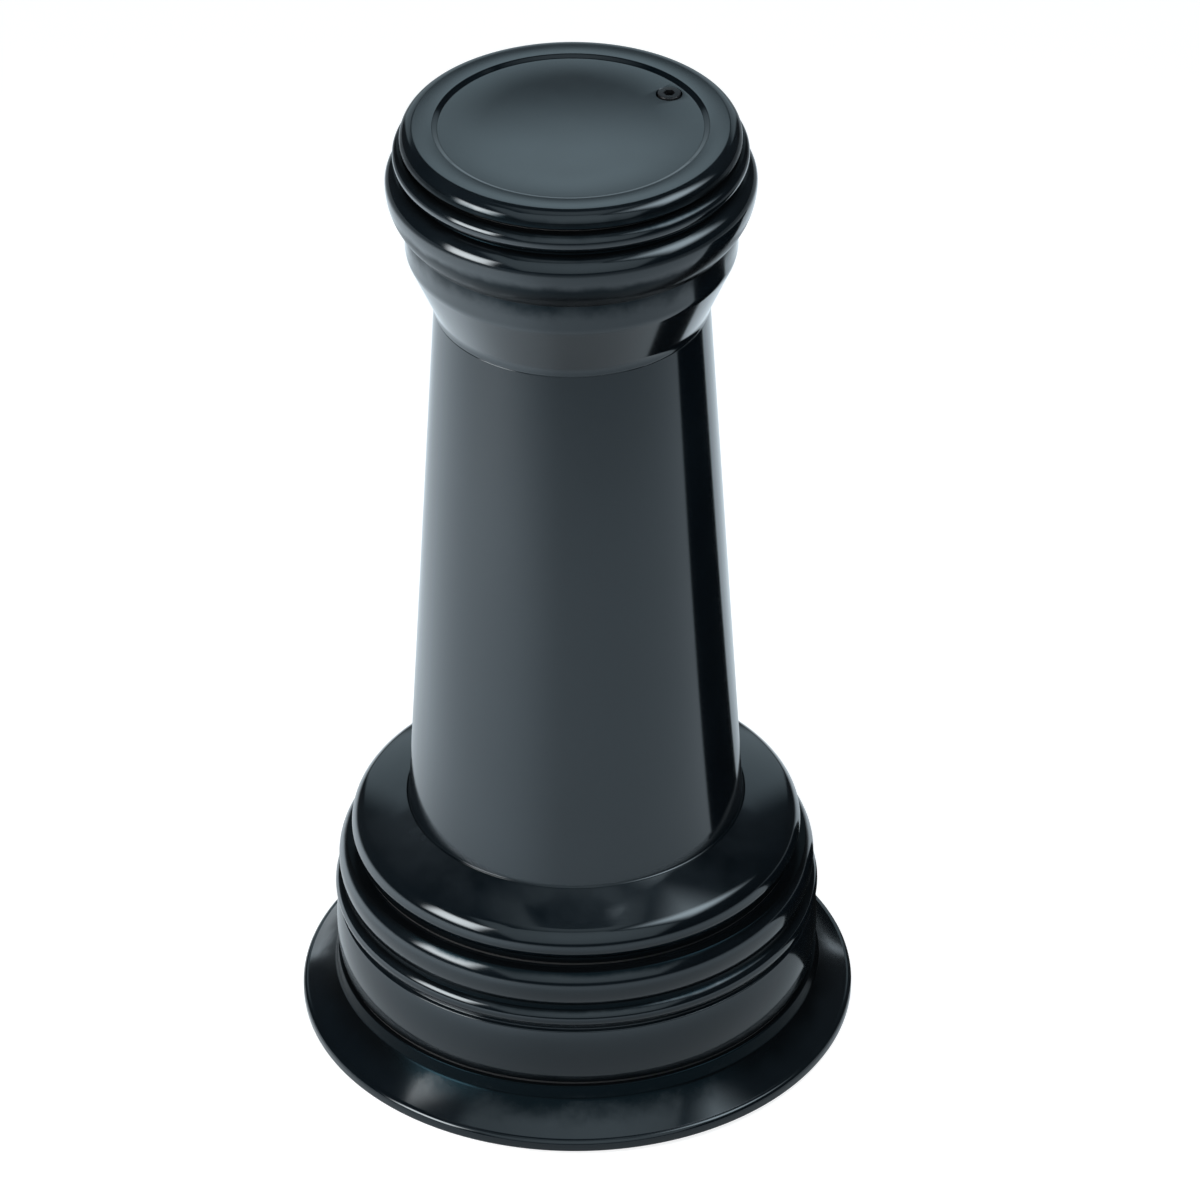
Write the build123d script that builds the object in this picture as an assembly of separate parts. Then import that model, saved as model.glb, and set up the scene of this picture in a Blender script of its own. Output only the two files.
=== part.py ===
"""Quay bollard post: cast pieces stacked on a flared base and clamped by one rod.

The frame has +Z up, with the origin on the post's axis at the underside of the
bedding gasket that the post stands on. Every piece is modelled where it sits.
All lengths are millimetres and all angles are degrees.

From the ground up the stack is bedding gasket, base flange, plinth drum, collar
ring, tapered shaft, head casting and lid. Thin gaskets lie between the castings,
dowels stop them turning, and a rod from the base flange to a bridge bar in the
head pulls the whole stack together. The bar bears on a seat ring, whose pillar
takes the one socket screw that holds the lid down.

Two lengths drive the size: the overall height and the shaft's radius above the
collar. Every other radius is a named step, wall or reach from its neighbour.
"""
from build123d import *
import os
from math import cos, radians, sin, sqrt

# ---------------------------------------------------------------- heights
OVERALL_HEIGHT = 600.0
BEDDING_THICKNESS = 3.0        # gasket under the base flange
JOINT_GASKET_THICKNESS = 2.0   # gasket between two castings
BASE_SEAT_HEIGHT = 34.0        # where the drum's gasket lies on the base flange
DRUM_HEIGHT = 76.0
COLLAR_SEAT_DEPTH = 20.0       # socket in the collar that the shaft stands in
COLLAR_WEB_THICKNESS = 14.0    # iron under the shaft's seat
COLLAR_RISE = 32.0             # collar above the drum's gasket
LID_EDGE_THICKNESS = 10.0
HEAD_HEIGHT = 102.0

# ---------------------------------------------------------------- fits
REGISTER_CLEARANCE = 0.3       # radial gap of the spigots between castings
LID_CLEARANCE = 0.5            # radial gap of the lid's register, which lifts out
DOWEL_CLEARANCE = 0.1
THREAD_CLEARANCE = 0.1         # drawn gap between a thread's two smooth stand-ins
SCREW_CLEARANCE = 0.3          # lid screw in its thread
SEAT_CLEARANCE = 0.5           # lid boss above its pillar while the gasket is fresh
END_CLEARANCE = 2.0            # free length past the end of a rod or dowel
CORE_DRAFT = 2.0               # narrowing of a cast boss over its height

# ---------------------------------------------------------------- shaft
SHAFT_BOTTOM_RADIUS = 98.0     # where it leaves the collar
SHAFT_TAPER = 20.0             # how much narrower it is at the top
SHAFT_FOOT_STEP = 0.9          # the straight foot stands proud by this much
SHAFT_BOTTOM_WALL = 11.5
SHAFT_TOP_WALL = 12.2
SHAFT_TOP_BORE_DEPTH = 16.0
SHAFT_EDGE_CHAMFER = 1.0

# ---------------------------------------------------------------- collar ring
COLLAR_LEDGE_WIDTH = 14.8      # from the socket out to the top of the round
COLLAR_LEDGE_FALL = 3.0        # the ledge slopes down by this much to shed water
COLLAR_ROUND_WIDTH = 18.0      # from the top of the round out to its crest
COLLAR_CREST_RISE = 10.5       # crest above the collar's underside
COLLAR_LAND_STEP = 3.0         # the land's edge lies this far inside the crest
COLLAR_LAND_HEIGHT = 4.0
COLLAR_SPIGOT_WALL = 9.5
COLLAR_SPIGOT_DEPTH = 11.0
COLLAR_BORE_STEP = 2.5         # web inside the shaft's bore

# ---------------------------------------------------------------- plinth drum
DRUM_SEAT_WIDTH = 12.0         # land of the collar on the drum
DRUM_LIP_WIDTH = 7.0           # inward lip that the collar's spigot drops into
DRUM_LIP_HEIGHT = 14.0
DRUM_TOP_EDGE_STEP = 6.0       # drum's top edge outside the collar's land
DRUM_TOP_BEAD_SWELL = 3.8
DRUM_FOOT_STEP = 5.5           # foot outside the top edge
DRUM_BELLY_SWELL = 2.0
DRUM_BELLY_HEIGHT = 37.0
DRUM_GROOVE_DEPTH = 3.5
DRUM_GROOVE_WIDTH = 3.0
DRUM_BEAD_SWELL = 2.0
DRUM_BEAD_HEIGHT = 21.0
DRUM_REGISTER_STEP = 2.3       # turned register for the flange's spigot

# ---------------------------------------------------------------- base flange
FLARE_STEP = 1.5               # top of the flare outside the drum's foot
FLARE_REACH = 21.5             # flange's edge outside the top of the flare
FLARE_HOLLOW = 2.0             # how far the flare dips below a straight cone
FLANGE_EDGE_HEIGHT = 7.0
FLANGE_EDGE_ROUND = 3.0
FLOOR_THICKNESS = 15.0
BASE_SPIGOT_WALL = 8.0
BASE_SPIGOT_HEIGHT = 9.0
BOSS_RADIUS = 26.0
BOSS_HEIGHT = 28.0             # above the floor
BOSS_SKIRT_WIDTH = 14.0        # cone that spreads the boss over the floor
BOSS_SKIRT_HEIGHT = 11.0
ANCHOR_COUNT = 4
ANCHOR_HOLE_INSET = 23.0       # anchor circle inside the flange's spigot
ANCHOR_HOLE_RADIUS = 9.0       # M16 anchor bolts
ANCHOR_START_ANGLE = 45.0
WEEP_HOLE_RADIUS = 5.0
WEEP_HOLE_INSET = 50.0
WEEP_ANGLE = 292.5
BEDDING_INSET = 4.0            # gasket edge inside the flange's edge
BEDDING_HOLE_MARGIN = 1.0
BEDDING_NOTCH_WIDTH = 14.0     # gap that lets the weep hole's water out

# ---------------------------------------------------------------- head casting
HEAD_LOWER_STEP = 0.8          # lower edge outside the shaft's top
HEAD_SPIGOT_WALL = 9.5
HEAD_SPIGOT_DEPTH = 14.0
NECK_SPREAD = 14.7             # how far the cone above the shaft reaches out
NECK_CONE_LOW_RISE = 2.5       # each rise is measured from the head's lower edge
NECK_CONE_TOP_RISE = 36.5
NECK_ROUND = 12.0              # hollow below the cone and round above it
NECK_BAND_TOP_RISE = 46.0      # upright band between the cone and the torus
TORUS_SWELL = 10.5             # the widest moulding, on a hollow underside
TORUS_CREST_RISE = 79.0
TORUS_RETURN = 8.2
TORUS_TOP_RISE = 88.5
BEAD_STEP = 1.5
BEAD_LOW_RISE = 90.0
BEAD_SWELL = 5.2               # the narrow bead under the lid
BEAD_CREST_RISE = 97.0
BEAD_RETURN = 5.5
HEAD_WALL = 15.5               # at the band under the torus
SEAT_RISE = 48.0               # top of the seat ring, which the bridge bar bears on
HEAD_CORE_STEP = 12.0          # step inside the bore that holds the seat ring
HEAD_CORE_SLOPE = 9.0

# ---------------------------------------------------------------- seat ring and pillar
SEAT_RING_WIDTH = 18.0
SEAT_RING_THICKNESS = 12.0
PILLAR_RADIUS = 10.5
PILLAR_PAD_MARGIN = 2.5        # pad of the ring around the pillar's foot
PILLAR_FOOT_RADIUS = 5.0
PILLAR_EDGE_CHAMFER = 1.0

# ---------------------------------------------------------------- lid
LID_OVERHANG = 1.5             # lid's edge outside the head's top
LID_RIM_ROUND = 7.5
LID_LOWER_ROUND = 2.0
LID_RIM_WIDTH = 18.5
LID_FACE_RECESS = 1.4          # the face lies this far below the rim
LID_STEP_WIDTH = 1.2
LID_FACE_CROWN = 0.8
LID_REGISTER_WALL = 6.5        # ring under the lid that centres it in the head
LID_REGISTER_DEPTH = 12.0
LID_REGISTER_CHAMFER = 1.0
LID_GASKET_INSET = 2.0

# ---------------------------------------------------------------- lid screw, M8
LID_SCREW_INSET = 13.0         # screw's axis inside the head's bore
LID_SCREW_ANGLE = 32.0
LID_SCREW_RADIUS = 4.0
LID_SCREW_LENGTH = 35.0
LID_SCREW_HEAD_RADIUS = 6.5
LID_SCREW_HEAD_HEIGHT = 8.0
LID_SCREW_SOCKET_FLATS = 6.0
LID_SCREW_SOCKET_DEPTH = 4.5
LID_SCREW_BOSS_RADIUS = 10.0
LID_SCREW_BOSS_DEPTH = 14.0
COUNTERBORE_RADIUS = 7.2
LID_WASHER_RADIUS = 6.9
LID_WASHER_THICKNESS = 1.6
LID_HOLE_RADIUS = 4.5
INSERT_RADIUS = 6.0
INSERT_LENGTH = 16.0
PILLAR_BORE_DEPTH = 22.0       # room for the screw's point below the insert

# ---------------------------------------------------------------- clamping rod, M20
ROD_RADIUS = 10.0
ROD_END_CHAMFER = 1.5
ROD_BOSS_ENGAGEMENT = 32.0
ROD_HOLE_MARGIN = 0.5
ROD_TOP_STANDOUT = 4.0
NUT_FLATS = 30.0
NUT_HEIGHT = 16.0
LOCK_NUT_HEIGHT = 10.0
NUT_CHAMFER_ANGLE = 30.0
ROD_WASHER_RADIUS = 18.5
ROD_WASHER_THICKNESS = 3.0
BRIDGE_WIDTH = 36.0
BRIDGE_THICKNESS = 14.0
BRIDGE_END_CLEARANCE = 3.0
BRIDGE_EDGE_CHAMFER = 1.5

# ---------------------------------------------------------------- dowels
DOWEL_RADIUS = 3.0
DOWEL_LENGTH = 20.0
DOWEL_COUNT = 2
DOWEL_END_CHAMFER = 0.6
BASE_DOWEL_ANGLE = 0.0
NECK_DOWEL_ANGLE = 77.0

# ---------------------------------------------------------------- worked-out heights
FLANGE_BOTTOM = BEDDING_THICKNESS
FLOOR_TOP = FLANGE_BOTTOM + FLOOR_THICKNESS
BOSS_TOP = FLOOR_TOP + BOSS_HEIGHT
DRUM_BOTTOM = BASE_SEAT_HEIGHT + JOINT_GASKET_THICKNESS
DRUM_TOP = DRUM_BOTTOM + DRUM_HEIGHT
COLLAR_BOTTOM = DRUM_TOP + JOINT_GASKET_THICKNESS
COLLAR_TOP = COLLAR_BOTTOM + COLLAR_RISE
COLLAR_SEAT = COLLAR_TOP - COLLAR_SEAT_DEPTH
SHAFT_BOTTOM = COLLAR_SEAT + JOINT_GASKET_THICKNESS
LID_BOTTOM = OVERALL_HEIGHT - LID_EDGE_THICKNESS
HEAD_TOP = LID_BOTTOM - JOINT_GASKET_THICKNESS
HEAD_BOTTOM = HEAD_TOP - HEAD_HEIGHT
SHAFT_TOP = HEAD_BOTTOM - JOINT_GASKET_THICKNESS
SEAT_TOP = HEAD_BOTTOM + SEAT_RISE
SEAT_BOTTOM = SEAT_TOP - SEAT_RING_THICKNESS
BRIDGE_TOP = SEAT_TOP + BRIDGE_THICKNESS
NUT_BOTTOM = BRIDGE_TOP + ROD_WASHER_THICKNESS
LOCK_NUT_BOTTOM = NUT_BOTTOM + NUT_HEIGHT
ROD_BOTTOM = BOSS_TOP - ROD_BOSS_ENGAGEMENT
ROD_TOP = LOCK_NUT_BOTTOM + LOCK_NUT_HEIGHT + ROD_TOP_STANDOUT
SCREW_BOSS_BOTTOM = LID_BOTTOM - LID_SCREW_BOSS_DEPTH
PILLAR_TOP = SCREW_BOSS_BOTTOM - SEAT_CLEARANCE

# ---------------------------------------------------------------- worked-out radii
SHAFT_TOP_RADIUS = SHAFT_BOTTOM_RADIUS - SHAFT_TAPER
SHAFT_FOOT_RADIUS = SHAFT_BOTTOM_RADIUS + SHAFT_FOOT_STEP
SHAFT_BOTTOM_BORE = SHAFT_BOTTOM_RADIUS - SHAFT_BOTTOM_WALL
SHAFT_TOP_BORE = SHAFT_TOP_RADIUS - SHAFT_TOP_WALL
COLLAR_SOCKET_RADIUS = SHAFT_FOOT_RADIUS + REGISTER_CLEARANCE
COLLAR_LEDGE_RADIUS = COLLAR_SOCKET_RADIUS + COLLAR_LEDGE_WIDTH
COLLAR_CREST_RADIUS = COLLAR_LEDGE_RADIUS + COLLAR_ROUND_WIDTH
COLLAR_LAND_RADIUS = COLLAR_CREST_RADIUS - COLLAR_LAND_STEP
COLLAR_BORE_RADIUS = SHAFT_BOTTOM_BORE - COLLAR_BORE_STEP
DRUM_LIP_RADIUS = COLLAR_LAND_RADIUS - DRUM_SEAT_WIDTH
COLLAR_SPIGOT_RADIUS = DRUM_LIP_RADIUS - REGISTER_CLEARANCE
DRUM_TOP_EDGE_RADIUS = COLLAR_LAND_RADIUS + DRUM_TOP_EDGE_STEP
DRUM_TOP_BEAD_RADIUS = DRUM_TOP_EDGE_RADIUS + DRUM_TOP_BEAD_SWELL
DRUM_FOOT_RADIUS = DRUM_TOP_EDGE_RADIUS + DRUM_FOOT_STEP
DRUM_BELLY_RADIUS = DRUM_FOOT_RADIUS + DRUM_BELLY_SWELL
DRUM_GROOVE_RADIUS = DRUM_FOOT_RADIUS - DRUM_GROOVE_DEPTH
DRUM_BEAD_RADIUS = DRUM_FOOT_RADIUS + DRUM_BEAD_SWELL
DRUM_BORE_RADIUS = DRUM_LIP_RADIUS + DRUM_LIP_WIDTH
DRUM_FOOT_BORE = DRUM_BORE_RADIUS + DRUM_REGISTER_STEP
BASE_SPIGOT_RADIUS = DRUM_FOOT_BORE - REGISTER_CLEARANCE
BASE_SPIGOT_BORE = BASE_SPIGOT_RADIUS - BASE_SPIGOT_WALL
FLARE_TOP_RADIUS = DRUM_FOOT_RADIUS + FLARE_STEP
FLANGE_RADIUS = FLARE_TOP_RADIUS + FLARE_REACH
ANCHOR_CIRCLE_RADIUS = BASE_SPIGOT_BORE - ANCHOR_HOLE_INSET
WEEP_CIRCLE_RADIUS = BASE_SPIGOT_BORE - WEEP_HOLE_INSET
BEDDING_RADIUS = FLANGE_RADIUS - BEDDING_INSET
BEDDING_BORE = ANCHOR_CIRCLE_RADIUS + ANCHOR_HOLE_RADIUS + BEDDING_HOLE_MARGIN
HEAD_LOWER_EDGE_RADIUS = SHAFT_TOP_RADIUS + HEAD_LOWER_STEP
HEAD_SPIGOT_RADIUS = SHAFT_TOP_BORE - REGISTER_CLEARANCE
HEAD_SPIGOT_BORE = HEAD_SPIGOT_RADIUS - HEAD_SPIGOT_WALL
NECK_BAND_RADIUS = HEAD_LOWER_EDGE_RADIUS + NECK_SPREAD
TORUS_CREST_RADIUS = NECK_BAND_RADIUS + TORUS_SWELL
TORUS_TOP_RADIUS = TORUS_CREST_RADIUS - TORUS_RETURN
BEAD_LOW_RADIUS = TORUS_TOP_RADIUS - BEAD_STEP
BEAD_CREST_RADIUS = BEAD_LOW_RADIUS + BEAD_SWELL
HEAD_TOP_RADIUS = BEAD_CREST_RADIUS - BEAD_RETURN
HEAD_BORE_RADIUS = NECK_BAND_RADIUS - HEAD_WALL
HEAD_CORE_RADIUS = HEAD_BORE_RADIUS - HEAD_CORE_STEP
SEAT_RING_RADIUS = HEAD_BORE_RADIUS - REGISTER_CLEARANCE
SEAT_RING_BORE = HEAD_BORE_RADIUS - SEAT_RING_WIDTH
LID_RADIUS = HEAD_TOP_RADIUS + LID_OVERHANG
LID_REGISTER_RADIUS = HEAD_BORE_RADIUS - LID_CLEARANCE
LID_REGISTER_BORE = LID_REGISTER_RADIUS - LID_REGISTER_WALL
LID_SCREW_CIRCLE_RADIUS = HEAD_BORE_RADIUS - LID_SCREW_INSET
ROD_HOLE_RADIUS = ROD_RADIUS + ROD_HOLE_MARGIN
BASE_DOWEL_CIRCLE = (DRUM_FOOT_BORE + DRUM_FOOT_RADIUS) / 2
COLLAR_DOWEL_CIRCLE = (COLLAR_SPIGOT_RADIUS + COLLAR_LAND_RADIUS) / 2
FOOT_DOWEL_CIRCLE = (SHAFT_BOTTOM_BORE + SHAFT_FOOT_RADIUS) / 2
NECK_DOWEL_CIRCLE = (SHAFT_TOP_BORE + SHAFT_TOP_RADIUS) / 2


# ---------------------------------------------------------------- shared shapes
def path(*points):
    """Straight lines through points given as (radius, height)."""
    return Polyline(*points)


def moulding(low, crest, high):
    """Convex round whose widest point is crest, from its low to its high edge."""
    below = TangentArc(crest, low, tangent=(0, -1))
    above = TangentArc(crest, high, tangent=(0, 1))
    return below + above


def ogee(low, high):
    """Hollow then round between two upright tangents, as two equal arcs."""
    middle = ((low[0] + high[0]) / 2, (low[1] + high[1]) / 2)
    hollow = TangentArc(low, middle, tangent=(0, 1))
    swell = TangentArc(high, middle, tangent=(0, -1))
    return hollow + swell


def softened_line(*points, radius):
    """Straight lines through points, with each inner corner rounded to the same radius."""
    return FilletPolyline(*points, radius=radius)


def turned(*outline):
    """Solid turned about the post's axis from the lines and arcs of its section."""
    edges = [edge for piece in outline for edge in piece.edges()]
    return revolve(Plane.XZ * make_face(edges), axis=Axis.Z)


def ring(outer, inner, bottom, top):
    """Flat ring about the post's axis."""
    return turned(path((inner, bottom), (outer, bottom), (outer, top), (inner, top), (inner, bottom)))


def rod(radius, bottom, top):
    """Plain cylinder that stands on the post's axis."""
    return Pos(0, 0, bottom) * Cylinder(radius, top - bottom, align=(Align.CENTER, Align.CENTER, Align.MIN))


def around(solid, radius, count, start=0.0):
    """Copies of a solid on the axis, moved out and spaced evenly on a circle."""
    step = 360.0 / count
    return [Rot(0, 0, start + step * i) * Pos(radius, 0, 0) * solid for i in range(count)]


def at_lid_screw(solid):
    """A solid on the post's axis, moved to the lid screw's axis."""
    return around(solid, LID_SCREW_CIRCLE_RADIUS, 1, LID_SCREW_ANGLE)[0]


def dowel_holes(circle, low, high, start):
    """Cutters for one joint's dowel holes, through both castings."""
    middle = (low + high) / 2
    reach = DOWEL_LENGTH / 2 + END_CLEARANCE / 2
    cutter = rod(DOWEL_RADIUS + DOWEL_CLEARANCE, middle - reach, middle + reach)
    return around(cutter, circle, DOWEL_COUNT, start)


def dowels(circle, low, high, start):
    """The dowels of one joint, half in each casting."""
    middle = (low + high) / 2
    pin = rod(DOWEL_RADIUS, middle - DOWEL_LENGTH / 2, middle + DOWEL_LENGTH / 2)
    ends = pin.edges().filter_by(GeomType.CIRCLE)
    return Compound(children=around(chamfer(ends, DOWEL_END_CHAMFER), circle, DOWEL_COUNT, start))


def hex_nut(bottom, height):
    """Hexagon nut on the rod, with both ends chamfered at the corners."""
    corner = NUT_FLATS / sqrt(3)
    drop = (corner - NUT_FLATS / 2) * sin(radians(NUT_CHAMFER_ANGLE)) / cos(radians(NUT_CHAMFER_ANGLE))
    prism = extrude(RegularPolygon(corner, 6), height)
    blank = turned(path((0, 0), (NUT_FLATS / 2, 0), (corner, drop), (corner, height - drop),
                        (NUT_FLATS / 2, height), (0, height), (0, 0)))
    bore = rod(ROD_RADIUS + THREAD_CLEARANCE, 0, height)
    return Pos(0, 0, bottom) * ((prism & blank) - bore)


def joint_gasket(outer, inner, bottom, circle, start):
    """Gasket of one joint between castings, holed for its dowels."""
    top = bottom + JOINT_GASKET_THICKNESS
    return ring(outer, inner, bottom, top) - dowel_holes(circle, bottom, top, start)


# ---------------------------------------------------------------- base
def anchor_holes(radius, bottom, top):
    """Cutters for the anchor bolts' holes."""
    return around(rod(radius, bottom, top), ANCHOR_CIRCLE_RADIUS, ANCHOR_COUNT, ANCHOR_START_ANGLE)


def weep_hole(radius, bottom, top):
    """Cutter that lets water out of the post."""
    return around(rod(radius, bottom, top), WEEP_CIRCLE_RADIUS, 1, WEEP_ANGLE)


def base_gasket():
    """Rubber bedding ring between the flange and the quay, with a gap for the weep hole's water."""
    notch = Box(BEDDING_RADIUS + END_CLEARANCE, BEDDING_NOTCH_WIDTH, BEDDING_THICKNESS,
                align=(Align.MIN, Align.CENTER, Align.MIN))
    return ring(BEDDING_RADIUS, BEDDING_BORE, 0, BEDDING_THICKNESS) - around(notch, 0, 1, WEEP_ANGLE)


def base_flange():
    """Flared foot with the anchor holes, the drum's spigot and the rod's boss."""
    edge_top = FLANGE_BOTTOM + FLANGE_EDGE_HEIGHT
    shoulder = (FLANGE_RADIUS - FLANGE_EDGE_ROUND, edge_top)
    flare_end = (FLARE_TOP_RADIUS, BASE_SEAT_HEIGHT)
    flare_mid = ((shoulder[0] + flare_end[0]) / 2 - FLARE_HOLLOW, (shoulder[1] + flare_end[1]) / 2 - FLARE_HOLLOW)
    spigot_top = BASE_SEAT_HEIGHT + BASE_SPIGOT_HEIGHT
    casting = turned(
        path((0, FLANGE_BOTTOM), (FLANGE_RADIUS, FLANGE_BOTTOM), (FLANGE_RADIUS, edge_top - FLANGE_EDGE_ROUND)),
        TangentArc((FLANGE_RADIUS, edge_top - FLANGE_EDGE_ROUND), shoulder, tangent=(0, 1)),
        ThreePointArc(shoulder, flare_mid, flare_end),
        path(flare_end, (BASE_SPIGOT_RADIUS, BASE_SEAT_HEIGHT), (BASE_SPIGOT_RADIUS, spigot_top),
             (BASE_SPIGOT_BORE, spigot_top), (BASE_SPIGOT_BORE, FLOOR_TOP),
             (BOSS_RADIUS + BOSS_SKIRT_WIDTH, FLOOR_TOP), (BOSS_RADIUS, FLOOR_TOP + BOSS_SKIRT_HEIGHT),
             (BOSS_RADIUS - CORE_DRAFT, BOSS_TOP), (0, BOSS_TOP), (0, FLANGE_BOTTOM)),
    )
    casting -= anchor_holes(ANCHOR_HOLE_RADIUS, FLANGE_BOTTOM, FLOOR_TOP)
    casting -= weep_hole(WEEP_HOLE_RADIUS, FLANGE_BOTTOM, FLOOR_TOP)
    casting -= rod(ROD_RADIUS + THREAD_CLEARANCE, ROD_BOTTOM - END_CLEARANCE, BOSS_TOP)
    return casting - dowel_holes(BASE_DOWEL_CIRCLE, BASE_SEAT_HEIGHT, DRUM_BOTTOM, BASE_DOWEL_ANGLE)


def plinth_gasket():
    """Gasket between the base flange and the drum."""
    return joint_gasket(DRUM_FOOT_RADIUS - 1, DRUM_FOOT_BORE, BASE_SEAT_HEIGHT, BASE_DOWEL_CIRCLE, BASE_DOWEL_ANGLE)


def plinth_drum():
    """Open drum with a belly, a bead and a narrow top bead outside."""
    belly_top = DRUM_BOTTOM + DRUM_BELLY_HEIGHT
    bead_low = belly_top + DRUM_GROOVE_WIDTH
    bead_high = bead_low + DRUM_BEAD_HEIGHT
    top_bead_low = bead_high + DRUM_GROOVE_WIDTH
    register_top = DRUM_BOTTOM + BASE_SPIGOT_HEIGHT
    casting = turned(
        moulding((DRUM_FOOT_RADIUS, DRUM_BOTTOM), (DRUM_BELLY_RADIUS, DRUM_BOTTOM + DRUM_BELLY_HEIGHT / 2),
                 (DRUM_FOOT_RADIUS, belly_top)),
        path((DRUM_FOOT_RADIUS, belly_top), (DRUM_GROOVE_RADIUS, belly_top), (DRUM_GROOVE_RADIUS, bead_low)),
        moulding((DRUM_GROOVE_RADIUS, bead_low), (DRUM_BEAD_RADIUS, (bead_low + bead_high) / 2),
                 (DRUM_GROOVE_RADIUS, bead_high)),
        path((DRUM_GROOVE_RADIUS, bead_high), (DRUM_TOP_EDGE_RADIUS, bead_high),
             (DRUM_TOP_EDGE_RADIUS, top_bead_low)),
        moulding((DRUM_TOP_EDGE_RADIUS, top_bead_low), (DRUM_TOP_BEAD_RADIUS, (top_bead_low + DRUM_TOP) / 2),
                 (DRUM_TOP_EDGE_RADIUS, DRUM_TOP)),
        path((DRUM_TOP_EDGE_RADIUS, DRUM_TOP), (DRUM_LIP_RADIUS, DRUM_TOP),
             (DRUM_LIP_RADIUS, DRUM_TOP - DRUM_LIP_HEIGHT), (DRUM_BORE_RADIUS, DRUM_TOP - DRUM_LIP_HEIGHT),
             (DRUM_BORE_RADIUS, register_top), (DRUM_FOOT_BORE, register_top), (DRUM_FOOT_BORE, DRUM_BOTTOM),
             (DRUM_FOOT_RADIUS, DRUM_BOTTOM)),
    )
    casting -= dowel_holes(BASE_DOWEL_CIRCLE, BASE_SEAT_HEIGHT, DRUM_BOTTOM, BASE_DOWEL_ANGLE)
    return casting - dowel_holes(COLLAR_DOWEL_CIRCLE, DRUM_TOP, COLLAR_BOTTOM, BASE_DOWEL_ANGLE)


# ---------------------------------------------------------------- collar and shaft
def collar_gasket():
    """Gasket between the drum and the collar ring."""
    return joint_gasket(COLLAR_LAND_RADIUS - 1, DRUM_LIP_RADIUS, DRUM_TOP, COLLAR_DOWEL_CIRCLE, BASE_DOWEL_ANGLE)


def collar_ring():
    """Half-round ring that closes the drum and holds the shaft's foot."""
    crest = (COLLAR_CREST_RADIUS, COLLAR_BOTTOM + COLLAR_CREST_RISE)
    round_top = (COLLAR_LEDGE_RADIUS, COLLAR_TOP - COLLAR_LEDGE_FALL)
    land_top = (COLLAR_LAND_RADIUS, COLLAR_BOTTOM + COLLAR_LAND_HEIGHT)
    spigot_bottom = COLLAR_BOTTOM - COLLAR_SPIGOT_DEPTH
    spigot_bore = COLLAR_SPIGOT_RADIUS - COLLAR_SPIGOT_WALL
    web_bottom = COLLAR_SEAT - COLLAR_WEB_THICKNESS
    casting = turned(
        moulding(land_top, crest, round_top),
        path(round_top, (COLLAR_SOCKET_RADIUS, COLLAR_TOP), (COLLAR_SOCKET_RADIUS, COLLAR_SEAT),
             (COLLAR_BORE_RADIUS, COLLAR_SEAT), (COLLAR_BORE_RADIUS, web_bottom), (spigot_bore, web_bottom),
             (spigot_bore, spigot_bottom), (COLLAR_SPIGOT_RADIUS, spigot_bottom),
             (COLLAR_SPIGOT_RADIUS, COLLAR_BOTTOM), (COLLAR_LAND_RADIUS, COLLAR_BOTTOM),
             land_top),
    )
    casting -= dowel_holes(COLLAR_DOWEL_CIRCLE, DRUM_TOP, COLLAR_BOTTOM, BASE_DOWEL_ANGLE)
    return casting - dowel_holes(FOOT_DOWEL_CIRCLE, COLLAR_SEAT, SHAFT_BOTTOM, BASE_DOWEL_ANGLE)


def foot_gasket():
    """Gasket between the collar ring and the shaft."""
    return joint_gasket(SHAFT_FOOT_RADIUS, SHAFT_BOTTOM_BORE, COLLAR_SEAT, FOOT_DOWEL_CIRCLE, BASE_DOWEL_ANGLE)


def shaft():
    """Hollow tapered shaft with a straight foot and a bored top."""
    foot_top = COLLAR_TOP - SHAFT_EDGE_CHAMFER
    bore_top = SHAFT_TOP - SHAFT_TOP_BORE_DEPTH
    casting = turned(path(
        (SHAFT_FOOT_RADIUS, SHAFT_BOTTOM), (SHAFT_FOOT_RADIUS, foot_top), (SHAFT_BOTTOM_RADIUS, COLLAR_TOP),
        (SHAFT_TOP_RADIUS, SHAFT_TOP - SHAFT_EDGE_CHAMFER), (SHAFT_TOP_RADIUS - SHAFT_EDGE_CHAMFER, SHAFT_TOP),
        (SHAFT_TOP_BORE, SHAFT_TOP), (SHAFT_TOP_BORE, bore_top), (SHAFT_BOTTOM_BORE, COLLAR_TOP),
        (SHAFT_BOTTOM_BORE, SHAFT_BOTTOM), (SHAFT_FOOT_RADIUS, SHAFT_BOTTOM),
    ))
    casting -= dowel_holes(FOOT_DOWEL_CIRCLE, COLLAR_SEAT, SHAFT_BOTTOM, BASE_DOWEL_ANGLE)
    return casting - dowel_holes(NECK_DOWEL_CIRCLE, SHAFT_TOP, HEAD_BOTTOM, NECK_DOWEL_ANGLE)


# ---------------------------------------------------------------- head
def neck_gasket():
    """Gasket between the shaft and the head casting."""
    return joint_gasket(SHAFT_TOP_RADIUS - SHAFT_EDGE_CHAMFER, SHAFT_TOP_BORE, SHAFT_TOP,
                        NECK_DOWEL_CIRCLE, NECK_DOWEL_ANGLE)


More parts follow.
